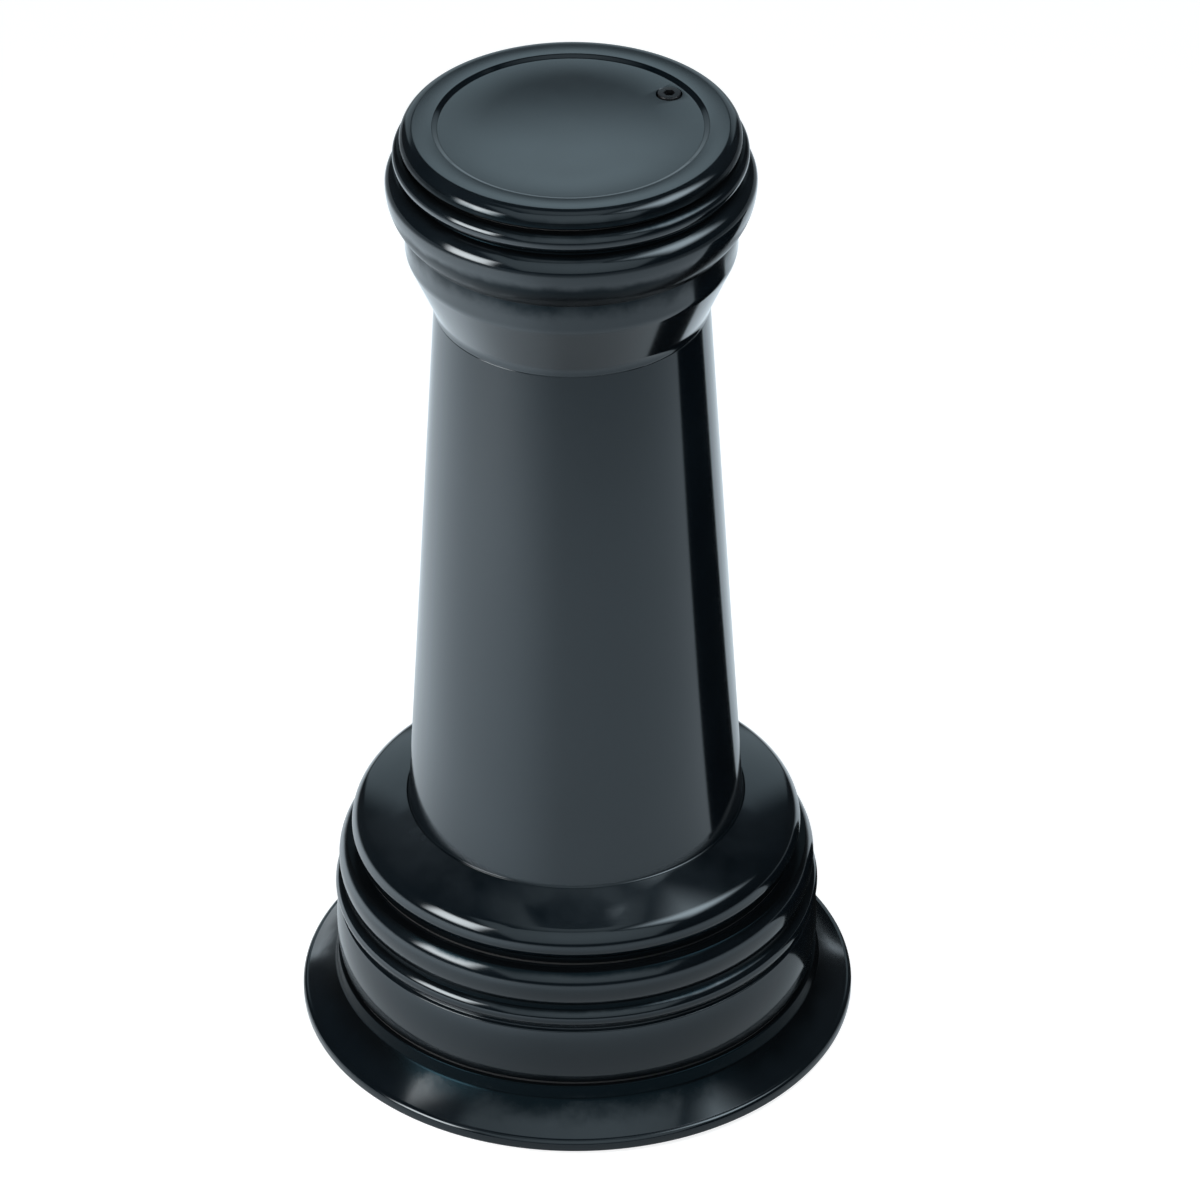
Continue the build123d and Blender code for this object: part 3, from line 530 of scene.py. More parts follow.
# ---------------------------------------------------------------- finishes
HOLLOW, LEDGE = "hollow", "ledge"  # a casting's own masks: where shade is painted into its hollows, and where dust lies on its ledges with a painted sheen
LEDGE_DUST_AND_SHEEN = 0.3                   # dust and painted sheen on a ledge, above what lies elsewhere
SHADE_RING_LIFT = 1.0                   # height of a ring of painted shade above the edge that holds it
DUST_AND_SHEEN_ROUGHENS = 0.35
SHADE_ROUGHENS = 0.12
GLOSS_PATCHES = 2.6                # patches of gloss to a patch of colour
MARKS_PITCH = 3200.0               # turning marks per metre


class Slot(str, Enum):
    """The material slots, one stored on each finish's material."""

    CASTING = "black_casting"
    RUBBER = "gasket_rubber"
    STAINLESS = "dowel_steel"
    GALVANISED = "galvanised_steel"
    BLACK_SCREW = "black_screw"
    BRASS = "insert_brass"


def cloud_group() -> Tree:
    """Build the group of a soft cloudy pattern, stretched between a low and a high value.

    Returns:
        The shader group.
    """
    sizes = dict.fromkeys(("Scale", "Detail", "Low", "High"), Plug.FLOAT)
    tree, given = new_tree("cloud", {"Place": Plug.VECTOR, **sizes}, "Value")
    cloud = noise(tree, given["Place"], given["Scale"], given["Detail"], rough=0.55)
    node(tree, "NodeGroupOutput", i0=ramp(tree, cloud, 0.32, 0.68, given["Low"], given["High"]))
    return tree


def dust_and_sheen_group() -> Tree:
    """Build the group that masks dust on what faces up, in patches, which on the paint is also a painted
    sheen.

    Returns:
        The shader group.
    """
    tree, given = new_tree("settled_dust_and_sheen", {"Place": Plug.VECTOR, "Amount": Plug.FLOAT}, "Mask")
    normal = node(tree, "ShaderNodeNewGeometry").outputs["Normal"]
    up = ramp(tree, axes(tree, normal)["Z"], 0.25, 1.0, 0.15, 1.0)
    patchy = ramp(tree, noise(tree, given["Place"], scale=9.0, detail=5.0, rough=0.65), 0.38, 0.72)
    mask = maths(tree, "MULTIPLY", maths(tree, "MULTIPLY", up, patchy), given["Amount"], clamp=True)
    node(tree, "NodeGroupOutput", i0=mask)
    return tree


def painted_shade_group() -> Tree:
    """Build the group that masks the painted shade in a casting's hollows, ragged at its edge.

    Returns:
        The shader group.
    """
    tree, given = new_tree("hollow_painted_shade", {"Place": Plug.VECTOR, "Amount": Plug.FLOAT}, "Mask")
    depth = node(tree, "ShaderNodeAttribute", attribute_name=HOLLOW).outputs["Fac"]
    ragged = noise(tree, given["Place"], scale=60.0, detail=4.0, rough=0.6)
    ragged = ramp(tree, ragged, 0.3, 0.7, -0.12, 0.12)
    deep = maths(tree, "ADD", depth, ragged)
    node(tree, "NodeGroupOutput", i0=ramp(tree, deep, 0.15, 0.75, 0.0, given["Amount"], smooth=True))
    return tree


def brushed_group() -> Tree:
    """Build the group of fine turning marks that run round the Z axis, as a height.

    Returns:
        The shader group.
    """
    tree, given = new_tree("turning_marks", {"Place": Plug.VECTOR, "Pitch": Plug.FLOAT}, "Height")
    parts = axes(tree, given["Place"])
    flat = node(tree, "ShaderNodeCombineXYZ", X=parts["X"], Y=parts["Y"]).outputs[0]
    radius = vectors(tree, "LENGTH", flat, "Value")
    line = node(tree, "ShaderNodeCombineXYZ", X=radius, Y=parts["Z"]).outputs[0]
    finer = vectors(tree, "SCALE", line, Scale=given["Pitch"])
    node(tree, "NodeGroupOutput", i0=noise(tree, finer, scale=1.0, detail=2.0))
    return tree


@dataclass(frozen=True)
class Effects:
    """The shader groups, built once and shared by every finish."""

    cloud: Tree = field(default_factory=cloud_group)
    dust_and_sheen_mask: Tree = field(default_factory=dust_and_sheen_group)
    brushed: Tree = field(default_factory=brushed_group)
    painted_shade: Tree = field(default_factory=painted_shade_group)


@dataclass(frozen=True)
class Finish:
    """A surface: its colours, gloss and relief, and how they vary. Reliefs are in metres."""

    name: str
    slot: Slot
    colour: Colour
    second_colour: Colour
    rough_low: float
    rough_high: float
    metallic: float = 0.0
    specular: float = 0.5
    tint: Colour = WHITE
    patch_scale: float = 14.0
    dust_and_sheen: float = 0.0
    dust_and_sheen_colour: Colour = (0.16, 0.15, 0.135)
    relief_scale: float = 260.0
    relief: float = 0.00002
    wave_scale: float = 0.0
    wave: float = 0.0
    marks: float = 0.0
    coat: float = 0.0
    coat_roughness: float = 0.1
    painted_shade: float = 0.0
    painted_shade_colour: Colour = (0.0025, 0.003, 0.0035)

    def material(self, effects: Effects) -> Material:
        """Build the finish as a procedural material.

        Args:
            effects: The shared shader groups.

        Returns:
            The material.
        """
        made = bpy.data.materials.new(self.name)
        made.use_nodes = True
        tree = made.node_tree
        surface = tree.nodes["Principled BSDF"].inputs
        place = node(tree, "ShaderNodeTexCoord").outputs["Object"]

        def cloud(scale: float, detail: float, low: float = 0.0, high: float = 1.0) -> Socket:
            """The cloudy pattern at a scale, between two values."""
            return placed(tree, effects.cloud, Place=place, Scale=scale, Detail=detail, Low=low, High=high)

        colour = mixed(tree, cloud(self.patch_scale, detail=4.0), rgba(self.colour), self.second_colour)
        rough = cloud(self.patch_scale * GLOSS_PATCHES, 6.0, low=self.rough_low, high=self.rough_high)
        # Dust on what faces up, raised on ledges, where it also paints a sheen.
        if self.dust_and_sheen:
            ledge = node(tree, "ShaderNodeAttribute", attribute_name=LEDGE).outputs["Fac"]
            amount = maths(tree, "MULTIPLY_ADD", ledge, LEDGE_DUST_AND_SHEEN, self.dust_and_sheen)
            mask = placed(tree, effects.dust_and_sheen_mask, Place=place, Amount=amount)
            colour = mixed(tree, mask, colour, self.dust_and_sheen_colour)
            rough = maths(tree, "MULTIPLY_ADD", mask, DUST_AND_SHEEN_ROUGHENS, rough, clamp=True)
        # Painted shade in the hollows: darker colour, rougher and with less coat gloss.
        if self.painted_shade:
            mask = placed(tree, effects.painted_shade, Place=place, Amount=self.painted_shade)
            colour = mixed(tree, mask, colour, self.painted_shade_colour)
            rough = maths(tree, "MULTIPLY_ADD", mask, SHADE_ROUGHENS, rough, clamp=True)
            gloss = maths(tree, "MULTIPLY_ADD", mask, -self.coat, self.coat)
            tree.links.new(gloss, surface["Coat Weight"])
            surface["Coat Roughness"].default_value = self.coat_roughness
        reliefs = [(cloud(self.relief_scale, detail=2.0), self.relief)]
        if self.wave:
            reliefs.insert(0, (cloud(self.wave_scale, detail=0.0), self.wave))
        if self.marks:
            reliefs.append((placed(tree, effects.brushed, Place=place, Pitch=MARKS_PITCH), self.marks))
        tree.links.new(self._normal(tree, reliefs), surface["Normal"])
        tree.links.new(colour, surface["Base Color"])
        tree.links.new(rough, surface["Roughness"])
        surface["Metallic"].default_value = self.metallic
        surface["Specular IOR Level"].default_value = self.specular
        surface["Specular Tint"].default_value = rgba(self.tint)
        made["slot"] = self.slot.value
        return made

    def _normal(self, tree: Tree, reliefs: list[tuple[Socket, float]]) -> Socket:
        """Chain reliefs into one normal.

        Args:
            tree: The material's tree.
            reliefs: Pattern and depth of each relief, coarse to fine.

        Returns:
            The normal.
        """
        above = {}
        for height, depth in reliefs:
            bump = node(tree, "ShaderNodeBump", Strength=1.0, Distance=depth, Height=height, **above)
            above = {"Normal": bump.outputs[0]}
        return above["Normal"]


# The paint's cool grey dust colour also paints a sheen on ledges, and its hollow mask paints shade into
# creases.
PAINT = Finish("gloss black paint", Slot.CASTING, (0.0016, 0.0034, 0.0052), (0.0028, 0.0052, 0.0074),
               0.09, 0.14, tint=(0.3, 0.75, 1.0), specular=0.1, coat=0.88, dust_and_sheen=0.05,
               dust_and_sheen_colour=(0.12, 0.145, 0.165), relief_scale=420.0, relief=0.0000025, wave_scale=34.0,
               wave=0.00003, painted_shade=1.0)
RUBBER = Finish("black rubber sheet", Slot.RUBBER, (0.012, 0.012, 0.013), (0.02, 0.02, 0.02), 0.62, 0.8,
                dust_and_sheen=0.2, relief_scale=900.0, relief=0.00003)
STAINLESS = Finish("stainless steel", Slot.STAINLESS, (0.55, 0.56, 0.57), (0.62, 0.62, 0.61), 0.2, 0.32,
                   metallic=1.0, marks=0.00001)
GALVANISED = Finish("galvanised steel", Slot.GALVANISED, (0.42, 0.44, 0.46), (0.58, 0.6, 0.62), 0.32,
                    0.5, metallic=1.0, patch_scale=120.0, relief_scale=300.0, relief=0.00004)
BLACK_OXIDE = Finish("black oxide steel", Slot.BLACK_SCREW, (0.02, 0.021, 0.024), (0.035, 0.034, 0.034),
                     0.24, 0.36, metallic=0.6, patch_scale=80.0, marks=0.00001)
BRASS = Finish("turned brass", Slot.BRASS, (0.6, 0.45, 0.2), (0.66, 0.5, 0.25), 0.2, 0.34, metallic=1.0,
               marks=0.00001)


# ---------------------------------------------------------------- making pieces
class Cut(str, Enum):
    """How one shape changes another."""

    ADD = "UNION"
    TAKE = "DIFFERENCE"
    KEEP = "INTERSECT"


@dataclass(frozen=True)
class Maker:
    """Makes finished pieces: turns, carves, joins, smooths and hands them to the frame.

    Its sizes are in millimetres, and every shape starts about the Z axis.
    """

    THREAD_DEPTH = 0.58    # share of the pitch
    THREAD_STEPS = 10      # facets along one pitch
    THREAD_RUN_OUT = 0.2   # how far its groove fades past each end
    BAR_CHAMFER = 1.0

    shop: Workshop = field(default_factory=Workshop)
    effects: Effects = field(default_factory=Effects)
    stock: dict[str, Material] = field(default_factory=dict)

    def turned(self, outline: Outline, soft: float = 0.0, facets: int = FINE_TURN) -> Mesh:
        """Turn an outline about the Z axis.

        Args:
            outline: The section to turn.
            soft: Rounding of its sharp corners.
            facets: Number of facets round the axis.

        Returns:
            The closed mesh, with its faces pointing out.
        """
        points = outline.softened(soft)
        string = bpy.data.meshes.new("outline")
        edges = [(i, i + 1) for i in range(len(points) - 1)]
        string.from_pydata([(r * MM, 0.0, z * MM) for r, z in points], edges, [])
        made = self.shop.run(self.shop.turning, string, Facets=facets)
        corners = ([made.vertices[i].co for i in face.vertices[:3]] for face in made.polygons)
        if sum(a.cross(b).dot(c) for a, b, c in corners) < 0:
            made.flip_normals()
        return made

    def rod(self, radius: float, bottom: float, top: float, facets: int = SMALL_TURN) -> Mesh:
        """A plain round bar."""
        return self.turned(Outline.band(0.0, radius, bottom, top), facets=facets)

    def spread(self, shape: Mesh, count: int, radius: float, start: float) -> Mesh:
        """Copy a shape evenly round the Z axis.

        Args:
            shape: The shape to copy.
            count: Number of copies.
            radius: Distance of each copy from the axis.
            start: Angle of the first copy, in degrees.

        Returns:
            One mesh that holds all the copies.
        """
        return self.shop.run(self.shop.spreading, shape, Count=count, Radius=radius * MM,
                             Start=math.radians(start))

    def grooved(self, blank: Mesh, rise: float, starts: float, depth: float, cut: Point,
                fade: float) -> Mesh:
        """Cut a thread or a knurl into a bar.

        Args:
            blank: The finely divided bar.
            rise: Grooves per millimetre along the axis.
            starts: Grooves round the axis.
            depth: Depth of a groove.
            cut: Lowest and highest height that is cut.
            fade: Length over which the cut starts and ends.

        Returns:
            The cut bar.
        """
        return self.shop.run(self.shop.grooving, blank, Rise=rise / MM, Starts=float(starts),
                             Depth=depth * MM, Bottom=cut[0] * MM, Top=cut[1] * MM, Fade=fade * MM)

    def threaded(self, radius: float, span: Point, thread: Point, pitch: float) -> Mesh:
        """A bar with a thread along part of it.

        Args:
            radius: Outer radius.
            span: Bottom and top of the bar.
            thread: Bottom and top of the thread.
            pitch: The thread's pitch.

        Returns:
            The threaded bar.
        """
        steps = math.ceil((thread[1] - thread[0]) / pitch * self.THREAD_STEPS)
        tip, end = radius - self.BAR_CHAMFER, span[1] - self.BAR_CHAMFER
        outline = Outline((0.0, span[0])).to((tip, span[0]), (radius, span[0] + self.BAR_CHAMFER),
                                             (radius, thread[0]))
        outline.to((radius, thread[1] - self.BAR_CHAMFER), steps=steps)
        outline.to((radius, end), (tip, span[1]), (0.0, span[1]))
        blank = self.turned(outline, facets=SMALL_TURN)
        cut = (thread[0] - self.THREAD_RUN_OUT, thread[1] + self.THREAD_RUN_OUT)
        return self.grooved(blank, 1 / pitch, 1.0, self.THREAD_DEPTH * pitch, cut, pitch)

    def block(self, low: Spot, high: Spot) -> Mesh:
        """Make a square block.

        Args:
            low: The corner with the least X, Y and Z.
            high: The opposite corner.

        Returns:
            The block.
        """
        spots = [(x * MM, y * MM, z * MM) for x in (low[0], high[0]) for y in (low[1], high[1])
                 for z in (low[2], high[2])]
        made = bpy.data.meshes.new("block")
        made.from_pydata(spots, [], [(0, 1, 3, 2), (4, 6, 7, 5), (0, 4, 5, 1), (2, 3, 7, 6), (0, 2, 6, 4),
                                     (1, 5, 7, 3)])
        return made

    def moved(self, mesh: Mesh, centre: Point) -> Mesh:
        """Move a mesh from the Z axis to another upright axis."""
        mesh.transform(Matrix.Translation((centre[0] * MM, centre[1] * MM, 0.0)))
        return mesh

    def combined(self, base: Mesh, tool: Mesh, how: Cut = Cut.TAKE) -> Mesh:
        """Join or carve one mesh with another.

        Args:
            base: The mesh to change.
            tool: The mesh added to it or cut from it.
            how: What the tool does.

        Returns:
            The new mesh.
        """
        holder, cutter = shown("work", base), shown("tool", tool)
        modifier = holder.modifiers.new("cut", "BOOLEAN")
        modifier.operation = how.value
        modifier.solver = "EXACT"
        modifier.object = cutter
        return baked(holder, cutter)

    def shade_and_sheen_marked(self, mesh: Mesh, hollows: tuple[Ring, ...], ledges: tuple[Ring, ...] = ()) -> Mesh:
        """Mark the hollows of a turned casting where shade is painted, and its ledges where dust and a
        painted sheen lie.

        Args:
            mesh: The casting.
            hollows: The rings of painted shade.
            ledges: The rings of dust and painted sheen.

        Returns:
            The casting.
        """
        for name, rings in ((HOLLOW, hollows), (LEDGE, ledges)):
            layer = mesh.attributes.new(name, "FLOAT", "POINT")
            for place, vertex in enumerate(mesh.vertices):
                spot = (math.hypot(vertex.co.x, vertex.co.y) / MM, vertex.co.z / MM)
                layer.data[place].value = max((ring.share(spot) for ring in rings), default=0.0)
        return mesh

    def material(self, look: Finish) -> Material:
        """Give a finish's material, which is made when it is first asked for.

        Args:
            look: The finish.

        Returns:
            The material.
        """
        if look.name not in self.stock:
            self.stock[look.name] = look.material(self.effects)
        return self.stock[look.name]

    def finish(self, name: str, mesh: Mesh, look: Finish, body: Body = Body.POST,
               nodes: tuple[str, ...] | None = None) -> None:
        """Turn a mesh into a finished piece on its body.

        Args:
            name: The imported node, or the piece where it has no node of its own.
            mesh: Its shape, in the part's frame.
            look: Its finish.
            body: The body it rides on.
            nodes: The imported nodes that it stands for, where they aren't the one in its name.
        """
        material = self.material(look)
        mesh.name = f"{name}_look"
        mesh.materials.clear()
        mesh.materials.append(material)
        for polygon in mesh.polygons:
            polygon.material_index = 0
        mesh.shade_smooth()
        mesh.set_sharp_from_angle(angle=SMOOTH_ANGLE)
        piece = shown(f"{name}_look", mesh)
        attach(piece, body.value)
        nodes = (name,) if nodes is None else nodes
        if nodes:
            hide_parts(*nodes)
        LOG.info("%s: %d faces on %s, in %s", piece.name, len(mesh.polygons), body.value, material.name)

    def gasket(self, name: str, bore: float, look: Finish = RUBBER, swell: float = 0.0) -> None:
        """Make a flat rubber ring in place of a packed gasket.

        Args:
            name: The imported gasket.
            bore: Its inner radius.
            look: The rubber, or the paint that runs over its edge.
            swell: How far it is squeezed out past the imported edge.
        """
        sheet = Span.of(name)
        outline = Outline.band(bore, sheet.radius + swell, sheet.bottom, sheet.top)
        self.finish(name, self.turned(outline, SHEET_EDGE), look)


# ---------------------------------------------------------------- the post
@dataclass
class Foot:
    """The bedding ring and the flared base flange, with its anchor holes and rod boss."""

    edge_height: float = 7.0
    edge_round: float = 3.0
    flare_top: float = 142.0
    flare_root: Point = (143.4, 26.0)
    root_round: float = 4.0
    root_shade: float = 4.5
    seat: float = 34.0
    seat_shade: float = 8.5
    spigot: float = 126.0
    spigot_bore: float = 118.0
    floor_top: float = 18.0
    boss: float = 26.0
    boss_draft: float = 2.0
    skirt_width: float = 14.0
    skirt_height: float = 11.0
    anchors: int = 4
    anchor_start: float = 45.0
    anchor_circle: float = 95.0
    anchor_hole: float = 9.0
    weep_circle: float = 68.0
    weep_hole: float = 5.0
    weep_angle: float = 292.5
    rod_hole: float = 10.1
    rod_hole_bottom: float = 12.0
    bedding_bore: float = 105.0
    notch_width: float = 14.0
    notch_reach: float = 5.0
    soft: float = 0.9

    def build(self, maker: Maker) -> None:
        """Build the foot's pieces.

        Args:
            maker: Makes and finishes the pieces.
        """
        self._bedding(maker)
        flange, boss_top = Span.of("base_flange"), Span.of("rod_foot_nut").bottom
        edge, bottom = flange.radius, flange.bottom
        edge_top = bottom + self.edge_height
        outline = Outline((0.0, bottom)).to((edge, bottom), (edge, edge_top - self.edge_round))
        outline.arc((edge - self.edge_round, edge_top), (0, 1))
        outline.eased(self.flare_root, (self.flare_top, self.seat), radius=self.root_round)
        outline.to((self.spigot, self.seat), (self.spigot, flange.top), (self.spigot_bore, flange.top),
                   (self.spigot_bore, self.floor_top), (self.boss + self.skirt_width, self.floor_top),
                   (self.boss, self.floor_top + self.skirt_height), (self.boss - self.boss_draft, boss_top),
                   (0.0, boss_top))
        body = maker.turned(outline, self.soft)
        anchor, weep = (maker.rod(radius, bottom - OVERRUN, self.floor_top + OVERRUN)
                        for radius in (self.anchor_hole, self.weep_hole))
        for hole in (maker.spread(anchor, self.anchors, self.anchor_circle, self.anchor_start),
                     maker.spread(weep, 1, self.weep_circle, self.weep_angle),
                     maker.rod(self.rod_hole, self.rod_hole_bottom, boss_top + OVERRUN)):
            body = maker.combined(body, hole)
        # Painted shade in the flare's root and round the seat.
        painted_shade = (Ring(*self.flare_root, self.root_shade), Ring(self.flare_top, self.seat, self.seat_shade))
        maker.finish("base_flange", maker.shade_and_sheen_marked(body, painted_shade), PAINT)

    def _bedding(self, maker: Maker) -> None:
        """Build the rubber ring that the post stands on, with its gap for the weep hole's water.

        Args:
            maker: Makes and finishes the pieces.
        """
        sheet, half = Span.of("base_gasket"), self.notch_width / 2
        body = maker.turned(Outline.band(self.bedding_bore, sheet.radius, 0.0, sheet.top), SHEET_EDGE)
        notch = maker.block((0.0, -half, -OVERRUN),
                            (sheet.radius + self.notch_reach, half, sheet.top + OVERRUN))
        body = maker.combined(body, maker.spread(notch, 1, 0.0, self.weep_angle))
        maker.finish("base_gasket", body, RUBBER)


@dataclass
class Plinth:
    """The drum with its belly, bead and top bead, and the gasket under it."""

    foot: float = 140.5
    foot_shade: float = 7.0
    belly_height: float = 37.0
    groove_depth: float = 2.6
    groove_width: float = 2.6
    bead_height: float = 12.0
    upper_groove_width: float = 3.0
    upper_shade: float = 6.0
    top_bead: float = 140.0
    top_edge: float = 135.0
    top_shade: float = 6.0
    lip: float = 117.0
    lip_height: float = 14.0
    bore: float = 124.0
    foot_bore: float = 126.3
    register: float = 9.0
    soft: float = 0.7

    def build(self, maker: Maker) -> None:
        """Build the plinth's pieces.

        Args:
            maker: Makes and finishes the pieces.
        """
        maker.gasket("plinth_gasket", self.foot_bore)
        drum = Span.of("plinth_drum")
        low, high, foot = drum.bottom, drum.top, self.foot
        belly_top = low + self.belly_height
        bead_low = belly_top + self.groove_width
        bead_high = bead_low + self.bead_height
        top_low = bead_high + self.upper_groove_width
        groove = foot - self.groove_depth
        outline = Outline((foot, low)).moulding((drum.radius, low + self.belly_height / 2), (foot, belly_top))
        outline.to((groove, belly_top), (groove, bead_low))
        outline.moulding((drum.radius, (bead_low + bead_high) / 2), (groove, bead_high))
        outline.to((groove, top_low))
        outline.moulding((self.top_bead, (top_low + high) / 2), (self.top_edge, high))
        outline.to((self.lip, high), (self.lip, high - self.lip_height), (self.bore, high - self.lip_height),
                   (self.bore, low + self.register), (self.foot_bore, low + self.register),
                   (self.foot_bore, low))
        # Painted shade in the upper groove, under the top bead's edge and at the foot.
        painted_shade = (Ring(groove, (bead_high + top_low) / 2, self.upper_shade),
                 Ring(self.top_edge, high + SHADE_RING_LIFT, self.top_shade), Ring(foot, low, self.foot_shade))
        maker.finish("plinth_drum", maker.shade_and_sheen_marked(maker.turned(outline, self.soft), painted_shade), PAINT)


@dataclass
class Collar:
    """The collar ring with its sloped shoulder, which holds the shaft's foot, and its gasket."""

    land: float = 129.0
    land_height: float = 4.0
    land_shade: float = 8.0
    crest_rise: float = 10.5
    shoulder_fall: float = 13.5
    shoulder_round: float = 12.5
    ledge_width: float = 20.0
    socket: float = 99.2
    seat: float = 126.0
    bore: float = 84.0
    web: float = 14.0
    spigot: float = 116.7
    spigot_wall: float = 9.5
    soft: float = 0.7

    def build(self, maker: Maker) -> None:
        """Build the collar's pieces.

        Args:
            maker: Makes and finishes the pieces.
        """
        maker.gasket("collar_gasket", self.spigot + FIT)
        foot, ring = Span.of("collar_gasket").top, Span.of("collar_ring")
        inner, web_bottom = self.spigot - self.spigot_wall, self.seat - self.web
        outline = Outline((self.land, foot)).to((self.land, foot + self.land_height))
        outline.arc_into((ring.radius, foot + self.crest_rise), (0, 1))
        outline.eased((ring.radius, ring.top - self.shoulder_fall), (self.socket, ring.top),
                      radius=self.shoulder_round)
        outline.to((self.socket, self.seat), (self.bore, self.seat), (self.bore, web_bottom),
                   (inner, web_bottom), (inner, ring.bottom), (self.spigot, ring.bottom), (self.spigot, foot))
        # Painted shade at the land; dust and a painted sheen on the shoulder's ledge.
        painted_shade = (Ring(self.land, foot + SHADE_RING_LIFT, self.land_shade),)
        dust_and_sheen = (Ring(self.socket + self.ledge_width / 2, ring.top, self.ledge_width),)
        maker.finish("collar_ring", maker.shade_and_sheen_marked(maker.turned(outline, self.soft), painted_shade, dust_and_sheen), PAINT)


@dataclass
class Shaft:
    """The hollow tapered shaft."""

    bottom_radius: float = 98.0
    top_radius: float = 78.0
    bottom_bore: float = 86.5
    top_bore: float = 65.8
    top_bore_depth: float = 16.0
    edge: float = 0.4
    soft: float = 0.5

    def build(self, maker: Maker) -> None:
        """Build the shaft.

        Args:
            maker: Makes and finishes the pieces.
        """
        shaft, collar_top = Span.of("shaft"), Span.of("collar_ring").top
        outline = Outline((self.bottom_bore, shaft.bottom)).to(
            (shaft.radius, shaft.bottom), (shaft.radius, collar_top - self.edge),
            (self.bottom_radius, collar_top), (self.top_radius, shaft.top - self.edge),
            (self.top_radius - self.edge, shaft.top),
            (self.top_bore, shaft.top), (self.top_bore, shaft.top - self.top_bore_depth),
            (self.bottom_bore, collar_top))
        maker.finish("shaft", maker.turned(outline, self.soft), PAINT)


@dataclass
class Head:
    """The moulded head with the seat ring and screw pillar inside, and its two gaskets.

    A point's height is measured from the head's lower edge.
    """

    lower_edge: float = 78.8
    neck_swell: float = 1.2
    spigot: float = 65.5
    spigot_bore: float = 56.0
    cone_low_rise: float = 2.5
    cone_top_rise: float = 36.5
    neck_round: float = 12.0
    band_top: Point = (93.5, 54.0)
    torus: Point = (104.0, 79.0)
    torus_top: Point = (95.8, 88.5)
    bead_low: Point = (94.3, 90.0)
    bead: Point = (99.5, 97.0)
    top_radius: float = 94.0
    top_shade: float = 7.0
    bore: float = 78.0
    core: float = 66.0
    core_slope: float = 9.0
    ring_bore: float = 60.0
    ring_soft: float = 0.8
    pad: float = 13.0
    pad_inset: float = 0.05
    pillar_radius: float = 10.5
    pillar_hole: float = 4.5
    pillar_hole_depth: float = 22.0
    pillar_soft: float = 1.0
    insert_bore: float = 4.3
    insert_soft: float = 0.4
    # painted shade in the crease under the torus, on the torus's underside and above the torus
    painted_shade: tuple[Ring, ...] = (Ring(95.5, 58.0, 13.0), Ring(100.5, 66.0, 10.0), Ring(94.3, 89.25, 9.0))
    soft: float = 0.6

    def build(self, maker: Maker) -> None:
        """Build the head's pieces.

        Args:
            maker: Makes and finishes the pieces.
        """
        maker.gasket("neck_gasket", self.spigot + FIT, PAINT, self.neck_swell)
        maker.gasket("lid_gasket", self.bore)
        foot, head, seat = Span.of("neck_gasket").top, Span.of("head_casting"), Span.of("seat_ring")

        def at(spot: Point) -> Point:
            """A spot whose height is measured from the head's lower edge."""
            return spot[0], foot + spot[1]

        core_low = foot + self.core_slope / 2
        outline = Outline((self.lower_edge, foot)).eased(
            at((self.lower_edge, self.cone_low_rise)), at((self.band_top[0], self.cone_top_rise)),
            at(self.band_top), radius=self.neck_round)
        outline.moulding(at(self.torus), at(self.torus_top))
        outline.to(at((self.bead_low[0], self.torus_top[1])), at(self.bead_low))
        outline.moulding(at(self.bead), (self.top_radius, head.top))
        outline.to((self.bore, head.top), (self.bore, seat.bottom), (self.core, seat.bottom),
                   (self.core, core_low + self.core_slope), (self.spigot_bore, core_low),
                   (self.spigot_bore, head.bottom), (self.spigot, head.bottom), (self.spigot, foot))
        # Painted shade in the head's hollows and round its top edge.
        painted_shade = [Ring(ring.radius, foot + ring.height, ring.reach) for ring in self.painted_shade]
        painted_shade.append(Ring(self.top_radius, head.top, self.top_shade))
        maker.finish("head_casting", maker.shade_and_sheen_marked(maker.turned(outline, self.soft), painted_shade), PAINT)
        self._seat(maker, seat)

    def _seat(self, maker: Maker, seat: Span) -> None:
        """Build the seat ring, the pillar on it and the insert in the pillar's top.

        Args:
            maker: Makes the pieces.
            seat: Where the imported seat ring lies.
        """
        pillar, insert = Span.of("screw_pillar"), Span.of("lid_screw_insert")
        flat = Outline.band(self.ring_bore, seat.radius, seat.bottom, seat.top)
        ring = maker.turned(flat, self.ring_soft)
        limit = maker.rod(seat.radius - self.pad_inset, seat.bottom, seat.top, FINE_TURN)
        pad = maker.moved(maker.rod(self.pad, seat.bottom, seat.top), pillar.centre)
        ring = maker.combined(ring, maker.combined(pad, limit, Cut.KEEP), Cut.ADD)
        maker.finish("seat_ring", ring, GALVANISED)
        hole_bottom = pillar.top - self.pillar_hole_depth
        barrel = Outline((0.0, seat.top)).to(
            (self.pillar_radius, seat.top), (self.pillar_radius, pillar.top), (insert.radius, pillar.top),
            (insert.radius, insert.bottom), (self.pillar_hole, insert.bottom),
            (self.pillar_hole, hole_bottom), (0.0, hole_bottom))
        sleeve = Outline.band(self.insert_bore, insert.radius, insert.bottom, insert.top)
        for name, section, soft, look in (("screw_pillar", barrel, self.pillar_soft, GALVANISED),
                                          ("lid_screw_insert", sleeve, self.insert_soft, BRASS)):
            piece = maker.turned(section, soft, SMALL_TURN)
            maker.finish(name, maker.moved(piece, Span.of(name).centre), look)


